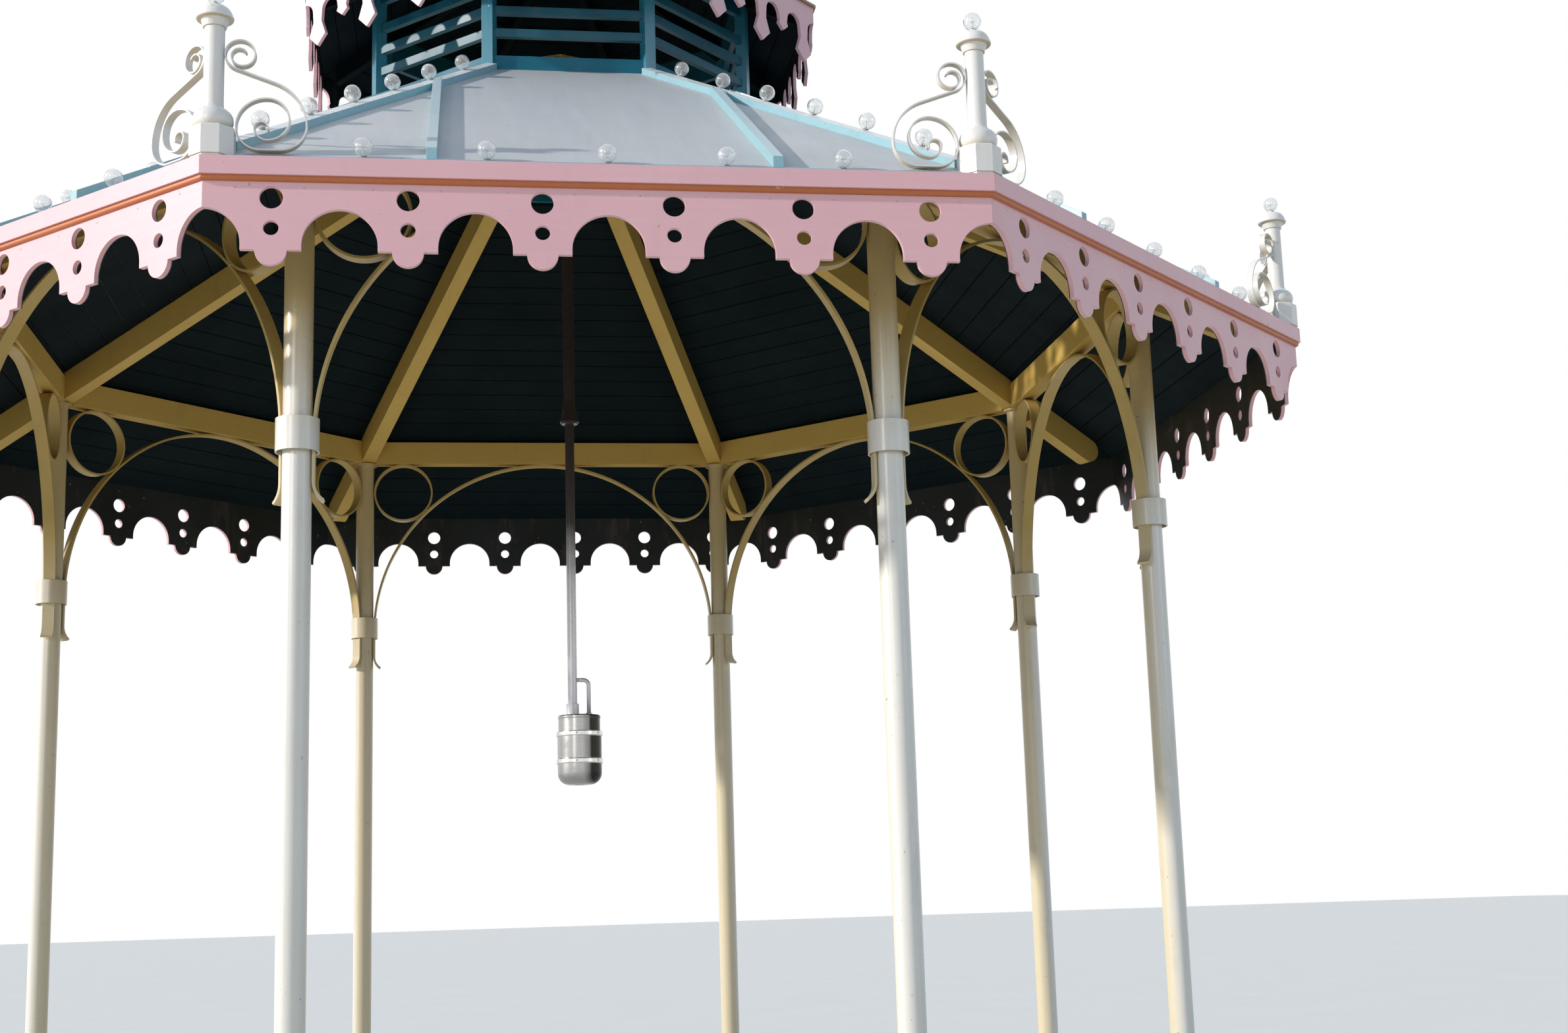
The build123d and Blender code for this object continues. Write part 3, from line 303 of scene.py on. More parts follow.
looks = {
    # Cream paint; the tan toward the top and on inward-facing sides is painted shade, warmed by bounce
    "whiteSteel": {
        "color": (0.8, 0.775, 0.735), "second": (0.75, 0.715, 0.65), "streakColor": (0.69, 0.64, 0.56),
        "grain": (30.0, 30.0, 2.2), "corner": True, "grainRelief": 0.12, "fineRelief": 0.2,
        "rough": 0.3, "coat": 0.35, "streak": 0.3, "paintedHeightShadeLight": (0.6, 0.42, 0.135), "highFrom": 3.15,
        "highTo": 3.75, "paintedBackShade": (0.66, 0.54, 0.3), "backRange": (-0.25, 0.75), "back": 0.7,
        "high": 0.85,
    },
    # White finials; their tan undersides are painted shade
    "whiteFinial": {
        "color": (0.83, 0.8, 0.77), "second": (0.79, 0.745, 0.69), "streakColor": (0.7, 0.62, 0.52),
        "grain": (24.0, 24.0, 4.0), "corner": True, "rough": 0.32, "coat": 0.3, "grainRelief": 0.2,
        "paintedUnderShade": (0.58, 0.44, 0.24), "under": 0.8,
    },
    # White scrolls; their tan undersides are painted shade
    "whiteScroll": {
        "color": (0.82, 0.79, 0.76), "second": (0.77, 0.71, 0.64), "streakColor": (0.66, 0.55, 0.42),
        "grain": (24.0, 24.0, 24.0), "rough": 0.33, "coat": 0.3, "grainRelief": 0.15,
        "paintedUnderShade": (0.58, 0.44, 0.24), "under": 0.6, "edge": 0.0015,
    },
    # Tan copies of the columns' cream paint, darkened as painted shade under the roof; the arches' paler low
    # ends are painted sunlight
    "creamSteelPaintedShade": {
        "color": (0.56, 0.4, 0.135), "second": (0.48, 0.335, 0.105), "streakColor": (0.62, 0.48, 0.22),
        "grain": (18.0, 18.0, 6.0), "rough": 0.42, "coat": 0.1, "grainRelief": 0.15, "edge": 0.0015,
        "specular": 0.35, "paintedHeightShadeLight": (0.7, 0.64, 0.5), "highFrom": 3.5, "highTo": 3.05, "high": 0.55,
    },
    "creamTimberPaintedShade": {
        "color": (0.66, 0.45, 0.12), "second": (0.58, 0.385, 0.1), "streakColor": (0.68, 0.5, 0.17),
        "grain": (60.0, 3.0, 60.0), "rough": 0.5, "coat": 0.0, "edge": 0.004, "specular": 0.25,
    },
    "creamRafterPaintedShade": {
        "color": (0.66, 0.45, 0.12), "second": (0.58, 0.385, 0.1), "streakColor": (0.68, 0.5, 0.17),
        "grain": (3.0, 70.0, 40.0), "corner": True, "rough": 0.5, "coat": 0.0, "edge": 0.004,
        "specular": 0.25,
    },
    "darkBoards": {
        "color": (0.005, 0.011, 0.014), "second": (0.003, 0.007, 0.01),
        "streakColor": (0.008, 0.019, 0.02), "grain": (70.0, 2.5, 70.0), "dirt": 0.3,
        "dirtColor": (0.016, 0.017, 0.013), "chipColor": (0.03, 0.032, 0.026), "rough": 0.75,
        "coat": 0.0, "specular": 0.07,
    },
    "greySheet": {
        "color": (0.545, 0.545, 0.55), "second": (0.475, 0.485, 0.495),
        "streakColor": (0.605, 0.605, 0.6), "grain": (1.2, 16.0, 1.2), "patchScale": 1.3, "patch": 0.8,
        "streak": 0.45, "dirt": 0.28, "dirtColor": (0.27, 0.3, 0.31), "dirtStretch": (1.4, 9.0, 1.4),
        "rough": 0.48, "coat": 0.0, "grainRelief": 0.25, "waveRelief": 6.0,
        "waveStretch": (1.1, 2.6, 1.1), "bump": 0.4, "chipAt": 0.74, "chipColor": (0.3, 0.3, 0.28),
    },
    # Aqua trim; its whitish top is painted sunlight
    "paleTrim": {
        "color": (0.3, 0.5, 0.56), "second": (0.23, 0.43, 0.5), "streakColor": (0.42, 0.59, 0.62),
        "grain": (3.0, 40.0, 40.0), "corner": True, "paintedLitTop": (0.8, 0.81, 0.8), "rough": 0.4,
    },
    # Aqua battens; their paler top is painted light
    "battenTrim": {
        "color": (0.3, 0.51, 0.56), "second": (0.24, 0.44, 0.5), "streakColor": (0.42, 0.59, 0.62),
        "grain": (3.0, 40.0, 40.0), "paintedLitTop": (0.47, 0.6, 0.63), "rough": 0.4,
    },
    # Pink boards; their backs are nearly black, which is painted shade
    "pinkBoard": {
        "color": (0.83, 0.475, 0.515), "second": (0.77, 0.42, 0.465), "streakColor": (0.86, 0.57, 0.6),
        "grain": (40.0, 2.5, 60.0), "dirt": 0.18, "dirtColor": (0.48, 0.3, 0.28), "rough": 0.36,
        "coat": 0.2, "chipColor": (0.55, 0.36, 0.31), "paintedBackShade": (0.005, 0.01, 0.011),
        "backDepth": valanceBack + 0.005,
    },
    "pinkFascia": {
        "color": (0.83, 0.475, 0.515), "second": (0.77, 0.42, 0.465), "streakColor": (0.86, 0.57, 0.6),
        "grain": (60.0, 2.5, 60.0), "dirt": 0.2, "dirtColor": (0.48, 0.3, 0.28), "rough": 0.36,
        "coat": 0.2, "chipColor": (0.55, 0.36, 0.31),
    },
    "orangeBead": {
        "color": (0.55, 0.155, 0.04), "second": (0.46, 0.125, 0.035), "streakColor": (0.6, 0.24, 0.1),
        "rough": 0.35, "chipColor": (0.7, 0.45, 0.4),
    },
    "tanTrim": {
        "color": (0.36, 0.21, 0.12), "second": (0.28, 0.16, 0.09), "streakColor": (0.5, 0.33, 0.22),
        "rough": 0.42, "chipColor": (0.62, 0.48, 0.4),
    },
    "tealMetal": {
        "color": (0.16, 0.4, 0.5), "second": (0.12, 0.33, 0.42), "streakColor": (0.3, 0.55, 0.62),
        "rough": 0.42,
    },
    "tealTimber": {
        "color": (0.006, 0.135, 0.205), "second": (0.004, 0.1, 0.16), "streakColor": (0.016, 0.2, 0.27),
        "grain": (40.0, 3.0, 40.0), "rough": 0.45, "coat": 0.0, "specular": 0.3,
        "chipColor": (0.22, 0.34, 0.37),
    },
    "tealPost": {
        "color": (0.015, 0.19, 0.28), "second": (0.01, 0.15, 0.225), "streakColor": (0.05, 0.3, 0.37),
        "grain": (40.0, 40.0, 3.0), "corner": True, "rough": 0.36, "specular": 0.9, "coat": 0.3,
        "chipColor": (0.5, 0.55, 0.54),
    },
    "tealRail": {
        "color": (0.005, 0.095, 0.145), "second": (0.003, 0.072, 0.115),
        "streakColor": (0.014, 0.16, 0.21), "grain": (40.0, 3.0, 40.0), "rough": 0.42, "coat": 0.0,
        "chipColor": (0.22, 0.34, 0.37),
    },
    # Pale pipe; it turns nearly black above about 3 m, which is painted shade
    "palePipe": {
        "color": (0.76, 0.755, 0.785), "second": (0.68, 0.68, 0.72), "streakColor": (0.8, 0.77, 0.77),
        "grain": (60.0, 60.0, 2.0), "metallic": 0.2, "rough": 0.3, "chipColor": (0.35, 0.33, 0.3),
        "paintedHeightShadeLight": (0.05, 0.04, 0.038), "highFrom": 3.0, "highTo": 3.35, "high": 1.0,
    },
    # Silver canister; its dark right side is a painted reflection and its bright bands are painted highlights
    "silverMetal": {
        "color": (0.46, 0.455, 0.445), "second": (0.38, 0.375, 0.365),
        "streakColor": (0.58, 0.575, 0.565), "paintedDarkReflection": (0.035, 0.032, 0.028),
        "bands": [canisterLow + band for band in canisterBands],
        "paintedBandHighlight": (0.86, 0.86, 0.85), "grain": (8.0, 8.0, 120.0), "metallic": 1.0, "rough": 0.24,
        "coat": 0.0, "dirt": 0.3, "dirtColor": (0.3, 0.28, 0.26), "chipColor": (0.34, 0.31, 0.28),
        "patchScale": 9.0, "fineRelief": 0.05, "grainRelief": 0.1,
    },
    "zincBolt": {
        "color": (0.46, 0.47, 0.48), "second": (0.36, 0.36, 0.37), "streakColor": (0.58, 0.58, 0.57),
        "patchScale": 30.0, "metallic": 0.9, "rough": 0.42, "chipColor": (0.33, 0.17, 0.09),
        "coat": 0.0,
    },
}
# The turret valance's back gets the same painted shade
looks["pinkTurret"] = {**looks["pinkBoard"], "backDepth": 0.0}  # its back is told by the normal alone
made = {name: paint(name, {**basePaint, **look}) for name, look in looks.items()}


# Clear glass with a little dust
def glassMaterial():
    look = {
        "color": (0.97, 0.985, 0.99, 1.0), "ior": 1.45, "coat": 1.0, "coatRough": 0.22,
        "dustScale": 34.0, "clear": (0.97, 0.82), "rough": (0.01, 0.10),
        "rippleScale": 60.0, "ripple": 0.05, "rippleDepth": 0.001,
    }
    mat, tree, shader = newMaterial("clearGlass")
    shader.inputs["Base Color"].default_value = look["color"]
    shader.inputs["IOR"].default_value = look["ior"]
    shader.inputs["Coat Weight"].default_value = look["coat"]
    shader.inputs["Coat Roughness"].default_value = look["coatRough"]
    coords = node(tree, "ShaderNodeTexCoord").outputs["Object"]
    dust = noise(tree, coords, look["dustScale"], 4.0, 0.6)
    tree.links.new(ramp(tree, dust, 0.35, 0.75, *look["clear"]), shader.inputs["Transmission Weight"])
    tree.links.new(ramp(tree, dust, 0.4, 0.75, *look["rough"]), shader.inputs["Roughness"])
    bump = node(tree, "ShaderNodeBump")
    bump.inputs["Strength"].default_value = look["ripple"]
    bump.inputs["Distance"].default_value = look["rippleDepth"]
    tree.links.new(noise(tree, coords, look["rippleScale"], 1.0), bump.inputs["Height"])
    tree.links.new(bump.outputs[0], shader.inputs["Normal"])
    return mat


# Plain material with two mingled colours
def speckled(name, color, second, rough, metallic=0.0, scale=220.0):
    mat, tree, shader = newMaterial(name)
    coords = node(tree, "ShaderNodeTexCoord").outputs["Object"]
    grains = noise(tree, coords, scale, 3.0, 0.6)
    tree.links.new(mix(tree, ramp(tree, grains, 0.35, 0.65), color, second), shader.inputs["Base Color"])
    tree.links.new(ramp(tree, grains, 0.3, 0.7, rough - 0.05, rough + 0.08), shader.inputs["Roughness"])
    shader.inputs["Metallic"].default_value = metallic
    return mat


made["clearGlass"] = glassMaterial()
made["socketShell"] = speckled("socketShell", (0.50, 0.49, 0.46), (0.40, 0.385, 0.36), 0.40)
made["bulbStem"] = speckled("bulbStem", (0.82, 0.85, 0.86), (0.70, 0.74, 0.76), 0.25)
made["bulbWire"] = speckled("bulbWire", (0.30, 0.27, 0.24), (0.42, 0.38, 0.33), 0.35, 1.0)
print("stage: materials")

wearing = {
    "column_bases": "whiteSteel", "column_collars": "whiteSteel", "ring_beams": "creamTimberPaintedShade",
    "spandrel_rings": "creamSteelPaintedShade", "hip_rafters": "creamRafterPaintedShade", "roof_hub": "creamRafterPaintedShade",
    "ceiling_boards": "darkBoards", "roof_sheets": "greySheet", "hip_caps": "paleTrim",
    "roof_battens": "battenTrim", "valance_boards": "pinkBoard", "fascia_boards": "pinkFascia",
    "fascia_bead": "orangeBead", "eave_flashing": "tealMetal", "corner_finials": "whiteFinial",
    "scroll_brackets": "whiteScroll", "lamp_sockets": "socketShell", "lamp_globes": "clearGlass",
    "turret_posts": "tealPost", "turret_base_boards": "tealTimber", "turret_rails": "tealRail",
    "turret_rafters": "darkBoards", "turret_ceiling": "darkBoards", "turret_roof_sheets": "greySheet",
    "turret_hip_caps": "paleTrim", "turret_valance": "pinkTurret", "turret_nosing": "tanTrim",
    "turret_spire": "whiteFinial", "pendant_rod": "palePipe", "pendant_canister": "silverMetal",
}
for k in range(sides):
    wearing["column_" + str(k + 1)] = "whiteSteel"
    wearing["arch_" + str(k + 1)] = "creamSteelPaintedShade"
for name, look in wearing.items():
    mesh = nodes[name].data
    mesh.materials.clear()
    mesh.materials.append(made[look])
print("stage: frame pieces dressed")


# Object from points and faces, not yet in the scene
def meshObject(name, points, faces, smooth=False):
    mesh = bpy.data.meshes.new(name)
    mesh.from_pydata(points, [], faces)
    mesh.validate()
    mesh.update()
    if smooth:
        mesh.shade_smooth()
    return bpy.data.objects.new(name, mesh)


# Faces between rows of points, where a row is a full ring or one point on the axis
def ringFaces(rows, segments):
    faces = []
    for low, high in zip(rows, rows[1:]):
        for i in range(segments):
            j = (i + 1) % segments
            if len(low) == 1 and len(high) > 1:
                faces.append((low[0], high[j], high[i]))
            elif len(high) == 1 and len(low) > 1:
                faces.append((low[i], low[j], high[0]))
            elif len(low) > 1:
                faces.append((low[i], low[j], high[j], high[i]))
    return faces


# Turned solid from a profile of radius and height that ends on the axis or closes on itself
def lathe(name, profile, segments=24, closed=False, smooth=True, sharp=35.0):
    points, rows = [], []
    for radius, height in profile:
        if radius < 1e-7:
            rows.append([len(points)])
            points.append((0.0, 0.0, height))
            continue
        rows.append(list(range(len(points), len(points) + segments)))
        for i in range(segments):
            angle = 2 * math.pi * i / segments
            points.append((radius * math.cos(angle), radius * math.sin(angle), height))
    if closed:
        rows.append(rows[0])
    turnedPiece = meshObject(name, points, ringFaces(rows, segments), smooth)
    if smooth:
        turnedPiece.data.set_sharp_from_angle(angle=math.radians(sharp))
    return turnedPiece


def torus(name, radius, wire, height, segments=12, around=5):
    profile = []
    for i in range(around):
        angle = 2 * math.pi * i / around
        profile.append((radius + wire * math.cos(angle), height + wire * math.sin(angle)))
    return lathe(name, profile, segments, closed=True)


# Geometry Nodes group that sets one piece on every point, by its axis and spin
def repeatGroup():
    group = bpy.data.node_groups.new("repeatPiece", "GeometryNodeTree")
    face = group.interface
    for name, kind in (
        ("Geometry", "Geometry"), ("Piece", "Object"), ("Paint", "Material"),
        ("Turn Jitter", "Float"), ("Shrink Jitter", "Float"), ("Seed", "Int"),
    ):
        face.new_socket(name, in_out="INPUT", socket_type="NodeSocket" + kind)
    face.new_socket("Geometry", in_out="OUTPUT", socket_type="NodeSocketGeometry")
    inlet, outlet = group.nodes.new("NodeGroupInput"), group.nodes.new("NodeGroupOutput")
    info = node(group, "GeometryNodeObjectInfo")
    axis = node(group, "GeometryNodeInputNamedAttribute", data_type="FLOAT_VECTOR")
    axis.inputs["Name"].default_value = "axis"
    spin = node(group, "GeometryNodeInputNamedAttribute", data_type="FLOAT")
    spin.inputs["Name"].default_value = "spin"
    align = node(group, "FunctionNodeAlignRotationToVector", axis="Z")
    jitter = node(group, "FunctionNodeRandomValue", data_type="FLOAT")
    jitter.inputs[2].default_value = -1.0
    amount = node(group, "ShaderNodeMath", operation="MULTIPLY_ADD")
    about = node(group, "FunctionNodeAxisAngleToRotation")
    about.inputs["Axis"].default_value = (0.0, 0.0, 1.0)
    rotate = node(group, "FunctionNodeRotateRotation", rotation_space="LOCAL")
    lower = node(group, "ShaderNodeMath", operation="SUBTRACT")
    lower.inputs[0].default_value = 1.0
    size = node(group, "FunctionNodeRandomValue", data_type="FLOAT")
    size.inputs[3].default_value = 1.0
    place = node(group, "GeometryNodeInstanceOnPoints")
    realize = node(group, "GeometryNodeRealizeInstances")
    coat = node(group, "GeometryNodeSetMaterial")
    for start, end in (
        (inlet.outputs["Piece"], info.inputs["Object"]),
        (inlet.outputs["Geometry"], place.inputs["Points"]),
        (info.outputs["Geometry"], place.inputs["Instance"]),
        (axis.outputs["Attribute"], align.inputs["Vector"]),
        (inlet.outputs["Seed"], jitter.inputs["Seed"]),
        (jitter.outputs[1], amount.inputs[0]),
        (inlet.outputs["Turn Jitter"], amount.inputs[1]),
        (spin.outputs["Attribute"], amount.inputs[2]),
        (amount.outputs[0], about.inputs["Angle"]),
        (align.outputs[0], rotate.inputs["Rotation"]),
        (about.outputs[0], rotate.inputs["Rotate By"]),
        (rotate.outputs[0], place.inputs["Rotation"]),
        (inlet.outputs["Shrink Jitter"], lower.inputs[1]),
        (lower.outputs[0], size.inputs[2]),
        (inlet.outputs["Seed"], size.inputs["Seed"]),
        (size.outputs[1], place.inputs["Scale"]),
        (place.outputs[0], realize.inputs[0]),
        (realize.outputs[0], coat.inputs["Geometry"]),
        (inlet.outputs["Paint"], coat.inputs["Material"]),
        (coat.outputs[0], outlet.inputs["Geometry"]),
    ):
        group.links.new(start, end)
    return group


repeatPiece = repeatGroup()


# Piece that rides on the frame and stands in for the named nodes
def finishPiece(name, mesh, replaced=()):
    piece = bpy.data.objects.new(name, mesh)
    bpy.context.scene.collection.objects.link(piece)
    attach(piece, "root")
    if replaced:
        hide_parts(*replaced)
    return piece


# The source on every place, a point with its axis and spin, as one finished piece
def scatter(name, source, places, look, turnJitter=0.0, shrink=0.0, seed=3, replaced=()):
    holder = meshObject(name + "Points", [place[0] for place in places], [])
    holder.data.attributes.new("axis", "FLOAT_VECTOR", "POINT")
    holder.data.attributes.new("spin", "FLOAT", "POINT")
    for i, place in enumerate(places):
        holder.data.attributes["axis"].data[i].vector = place[1]
        holder.data.attributes["spin"].data[i].value = place[2]
    bpy.context.scene.collection.objects.link(holder)
    layer = holder.modifiers.new("repeat", "NODES")
    layer.node_group = repeatPiece
    values = {
        "Piece": source, "Paint": made[look],
        "Turn Jitter": turnJitter, "Shrink Jitter": shrink, "Seed": seed,
    }
    for item in repeatPiece.interface.items_tree:
        if item.in_out == "INPUT" and item.name in values:
            layer[item.identifier] = values[item.name]
    holder.update_tag()
    graph = bpy.context.evaluated_depsgraph_get()
    mesh = bpy.data.meshes.new_from_object(holder.evaluated_get(graph))
    mesh.name = name
    holder.modifiers.remove(layer)
    bpy.data.objects.remove(holder)
    return finishPiece(name, mesh, replaced)


# Places in the frame of a side or corner, turned to all eight
def aroundSides(local, corner=False):
    places = []
    for k in range(sides):
        angle = firstCorner + k * turn + (0.0 if corner else turn / 2)
        spin = Matrix.Rotation(angle, 3, "Z")
        for point, axis in local:
            places.append((tuple(spin @ Vector(point)), tuple(spin @ Vector(axis)), 0.0))
    return places


# Eight places on the axis, each turned to one side
def sideTurns():
    return [((0.0, 0.0, 0.0), (0.0, 0.0, 1.0), firstCorner + turn / 2 + k * turn) for k in range(sides)]


# Glass bulbs on the hips, the eaves and the finials
def buildBulbs():
    look = {
        "radius": 0.0355, "wall": 0.0011, "neck": 0.014, "socket": 0.004, "rings": 14,
        "hipCount": 6, "hipStart": 0.334, "hipEnd": 0.371,
        "eaveCount": 5, "eaveInset": 0.0494, "eaveMargin": 0.570, "seed": 5,
    }
    lift = math.sqrt(look["radius"] ** 2 - look["neck"] ** 2)
    middle = look["socket"] + lift
    openAngle = math.asin(look["neck"] / look["radius"]) - math.pi / 2
    outer, inner = [], []
    for i in range(look["rings"] + 1):
        angle = openAngle + (math.pi / 2 - openAngle) * i / look["rings"]
        outer.append((look["radius"] * math.cos(angle), middle + look["radius"] * math.sin(angle)))
        thin = look["radius"] - look["wall"]
        inner.append((thin * math.cos(angle), middle + thin * math.sin(angle)))
    outer[-1] = (0.0, outer[-1][1])
    inner[-1] = (0.0, inner[-1][1])
    globe = lathe("globe", outer + inner[::-1], 26, closed=True, sharp=60.0)
    socket = lathe("socket", [
        (0.0, 0.0), (0.0138, 0.0), (0.0138, 0.0032), (0.0126, 0.0044),
        (0.0112, 0.0047), (0.0112, 0.0062), (0.0, 0.0062),
    ], 16)
    stem = lathe("stem", [
        (0.0, 0.0063), (0.0062, 0.0063), (0.0048, 0.0105), (0.0026, 0.0150),
        (0.0022, 0.0270), (0.0032, 0.0290), (0.0, 0.0305),
    ], 10)
    wire = torus("wire", 0.0080, 0.0007, 0.0350, 14, 5)
    tilt = (math.sin(hipAngle), 0.0, math.cos(hipAngle))
    feet = [((finialRadius, 0.0, finialTop), (0.0, 0.0, 1.0))]
    first, last = turretCircle + look["hipStart"], finialRadius - look["hipEnd"]
    for i in range(look["hipCount"]):
        radius = first + (last - first) * i / (look["hipCount"] - 1)
        feet.append(((radius, 0.0, roofZ(radius * cosHalf, -capHeight) + seat), tilt))
    apothem = valanceBack + valanceThickness - look["eaveInset"]
    span = 2 * (eaveEdge * tanHalf - look["eaveMargin"])
    eaves = []
    for i in range(look["eaveCount"]):
        along = (i / (look["eaveCount"] - 1) - 0.5) * span
        eaves.append(((apothem, along, roofZ(apothem)), (math.sin(pitch), 0.0, math.cos(pitch))))
    places = aroundSides(feet, corner=True) + aroundSides(eaves)
    scatter(
        "bulbGlobes", globe, places, "clearGlass",
        anyTurn, seed=look["seed"], replaced=("lamp_globes",),
    )
    scatter(
        "bulbSockets", socket, places, "socketShell",
        anyTurn, seed=look["seed"], replaced=("lamp_sockets",),
    )
    scatter("bulbStems", stem, places, "bulbStem", anyTurn, 0.0, look["seed"])
    scatter("bulbWires", wire, places, "bulbWire", anyTurn, 0.0, look["seed"])


buildBulbs()
print("stage: bulbs")


# One side of boarding: boards along the eave with eased lower edges
def boardSide(name, heightAt, inner, outer, depths, width, gap, firstGap):
    points, faces = [], []
    count = max(2, round((outer - inner) / (width * math.cos(pitch))))
    lean = math.sin(pitch)
    ease = 0.004
    joint = 0.0012
    topPlay, bottomPlay = 0.0008, 0.0012

    def at(apothem, depth, square):
        if square:
            return apothem, heightAt(apothem, depth)
        return apothem - depth * lean, heightAt(apothem - depth * lean, depth)

    for i in range(count):
        start = inner + (outer - inner) * i / count
        end = inner + (outer - inner) * (i + 1) / count
        first, last = i == 0, i == count - 1
        top = depths[0] + seat + random.uniform(0.0, topPlay)
        bottom = depths[1] - random.uniform(0.0, bottomPlay)
        if not first:
            start += joint
        if not last:
            end -= joint
        section = [
            at(start, top, first),
            at(start, bottom - ease, first),
            at(start + ease, bottom, first),
            at(end - ease, bottom, last),
            at(end, bottom - ease, last),
            at(end, top, last),
        ]
        hipGap = firstGap if first else gap
        base = len(points)
        for sign in (-1, 1):
            for apothem, height in section:
                points.append((apothem, sign * (apothem * tanHalf - hipGap / cosHalf), height))
        size = len(section)
        faces.append(tuple(base + j for j in range(size)))
        faces.append(tuple(base + size + j for j in reversed(range(size))))
        for j in range(size):
            k = (j + 1) % size
            faces.append((base + k, base + j, base + size + j, base + size + k))
    return meshObject(name, points, faces)


# Boarded ceilings of the main roof and of the turret
def buildBoarding():
    look = {
        "width": 0.138, "turretWidth": 0.110, "gap": 0.004, "firstGap": 0.036,
        "hub": 0.031, "turretEaveInset": 0.018,
    }
    depths = (sheetThickness, skinThickness)
    start, end = turretFace + seat, valanceBack - seat
    side = boardSide("ceilingSide", roofZ, start, end, depths, look["width"], look["gap"], look["firstGap"])
    scatter("ceilingBoards", side, sideTurns(), "darkBoards", replaced=("ceiling_boards",))
    start, end = look["hub"] / tanHalf / cosHalf + seat, turretEdge - look["turretEaveInset"] - seat
    side = boardSide("turretSide", turretZ, start, end, depths, look["turretWidth"], look["gap"], look["gap"])
    scatter("turretBoards", side, sideTurns(), "darkBoards", replaced=("turret_ceiling",))


buildBoarding()
print("stage: boarding")


# Hexagon nut with its bolt end and washer, foot on the plane z = 0
def nutMesh(name, across, height, stud, studHeight):
    washer = lathe("washer", [
        (0.0, 0.0), (across * 0.92, 0.0), (across * 0.95, 0.0008),
        (across * 0.95, 0.0026), (across * 0.90, 0.0030), (0.0, 0.0030),
    ], 18)
    corner = across / math.sqrt(3)
    nutTop = height + 0.0022
    nut = lathe("nut", [
        (0.0, 0.0031), (corner * 0.90, 0.0031), (corner, 0.0050),
        (corner, height), (corner * 0.86, nutTop), (0.0, nutTop),
    ], 6, smooth=False)
    boltFoot = nutTop + 0.0001
    bolt = lathe("bolt", [
        (0.0, boltFoot), (stud, boltFoot), (stud, studHeight - 0.0020),
        (stud - 0.0018, studHeight), (0.0, studHeight),
    ], 12)
    points, faces = [], []
    for part in (washer, nut, bolt):
        base = len(points)
        points += [tuple(v.co) for v in part.data.vertices]
        faces += [tuple(base + i for i in polygon.vertices) for polygon in part.data.polygons]
    return meshObject(name, points, faces)


# Low round head, foot on the plane z = 0
def dome(name, radius, height, segments=10):
    shoulder, crown = (radius * 0.94, height * 0.45), (radius * 0.62, height * 0.86)
    return lathe(name, [(0.0, 0.0), (radius, 0.0), shoulder, crown, (0.0, height)], segments, sharp=50.0)


# Anchor nuts on the feet, nails on hips and valances, weld spots on arches and rings
def buildFixings():
    look = {
        "flangeTop": 0.020, "anchorRing": 0.103225, "anchors": 4, "seed": 11,
        "nailStart": 1.14, "nailEnd": 0.16, "nailPitch": 0.19, "nailOut": 0.040,
        "boardNailStart": 0.12, "boardNailEnd": 0.11, "boardNailPitch": 0.243, "boardNailDrop": 0.112,
        "nailShrink": 0.2, "archHalf": 0.032, "weldLap": 0.004, "weldShrink": 0.3,
    }
    nut = nutMesh("anchorNut", 0.024, 0.0150, 0.0075, 0.0270)
    places = []
    for k in range(sides):
        angle = firstCorner + k * turn
        for j in range(look["anchors"]):
            around = angle + math.radians(45 + 360 / look["anchors"] * j)
            point = (
                columnCircle * math.cos(angle) + look["anchorRing"] * math.cos(around),
                columnCircle * math.sin(angle) + look["anchorRing"] * math.sin(around),
                look["flangeTop"],
            )
            places.append((point, (0.0, 0.0, 1.0), 0.0))
    scatter("anchorNuts", nut, places, "zincBolt", anyTurn, 0.0, look["seed"])
    nail = dome("nailHead", 0.0042, 0.0014)
    hipNails, sideNails = [], []
    capNormal = Vector((math.sin(pitch), 0.0, math.cos(pitch)))
    for sign in (-1, 1):
        swing = Matrix.Rotation(sign * turn / 2, 3, "Z")
        radius = look["nailStart"]
        while radius < finialRadius - look["nailEnd"]:
            apothem = radius * cosHalf + look["nailOut"] * sinHalf
            point = (radius, sign * look["nailOut"], roofZ(apothem, -capHeight))
            hipNails.append((point, tuple(swing @ capNormal)))
            radius += look["nailPitch"]
    half = eaveEdge * tanHalf
    valanceFront = valanceBack + valanceThickness
    along = -half + look["boardNailStart"]
    while along < half - look["boardNailEnd"]:
        sideNails.append(((valanceFront, along, fasciaTop - look["boardNailDrop"]), (1.0, 0.0, 0.0)))
        along += look["boardNailPitch"]
    places = aroundSides(hipNails, corner=True)
    scatter("hipNails", nail, places, "paleTrim", 0.0, look["nailShrink"], look["seed"])
    places = aroundSides(sideNails)
    scatter("valanceNails", nail, places, "pinkFascia", 0.0, look["nailShrink"], look["seed"])
    weld = dome("weldSpot", 0.0075, 0.0030, 12)
    archR = columnCircle * sinHalf - columnRadius - seat
    ringR = (archR * (math.sqrt(2) - 1) - seat) / (math.sqrt(2) + 1)
    springZ = plateTop - seat - archR
    ringS, ringZ = archR - ringR, plateTop - seat - ringR
    welds = []
    for sign in (-1, 1):
        for along, height in (
            (archR * math.sqrt(0.5), springZ + archR * math.sqrt(0.5)),
            (ringS + ringR - look["weldLap"], ringZ),
            (ringS, ringZ + ringR - look["weldLap"]),
        ):
            for face in (-1, 1):
                point = (columnCircle * cosHalf + face * look["archHalf"], sign * along, height)
                welds.append((point, (float(face), 0.0, 0.0)))
    places = aroundSides(welds)
    scatter("weldSpots", weld, places, "creamSteelPaintedShade", anyTurn, look["weldShrink"], look["seed"])


buildFixings()
print("stage: fixings")


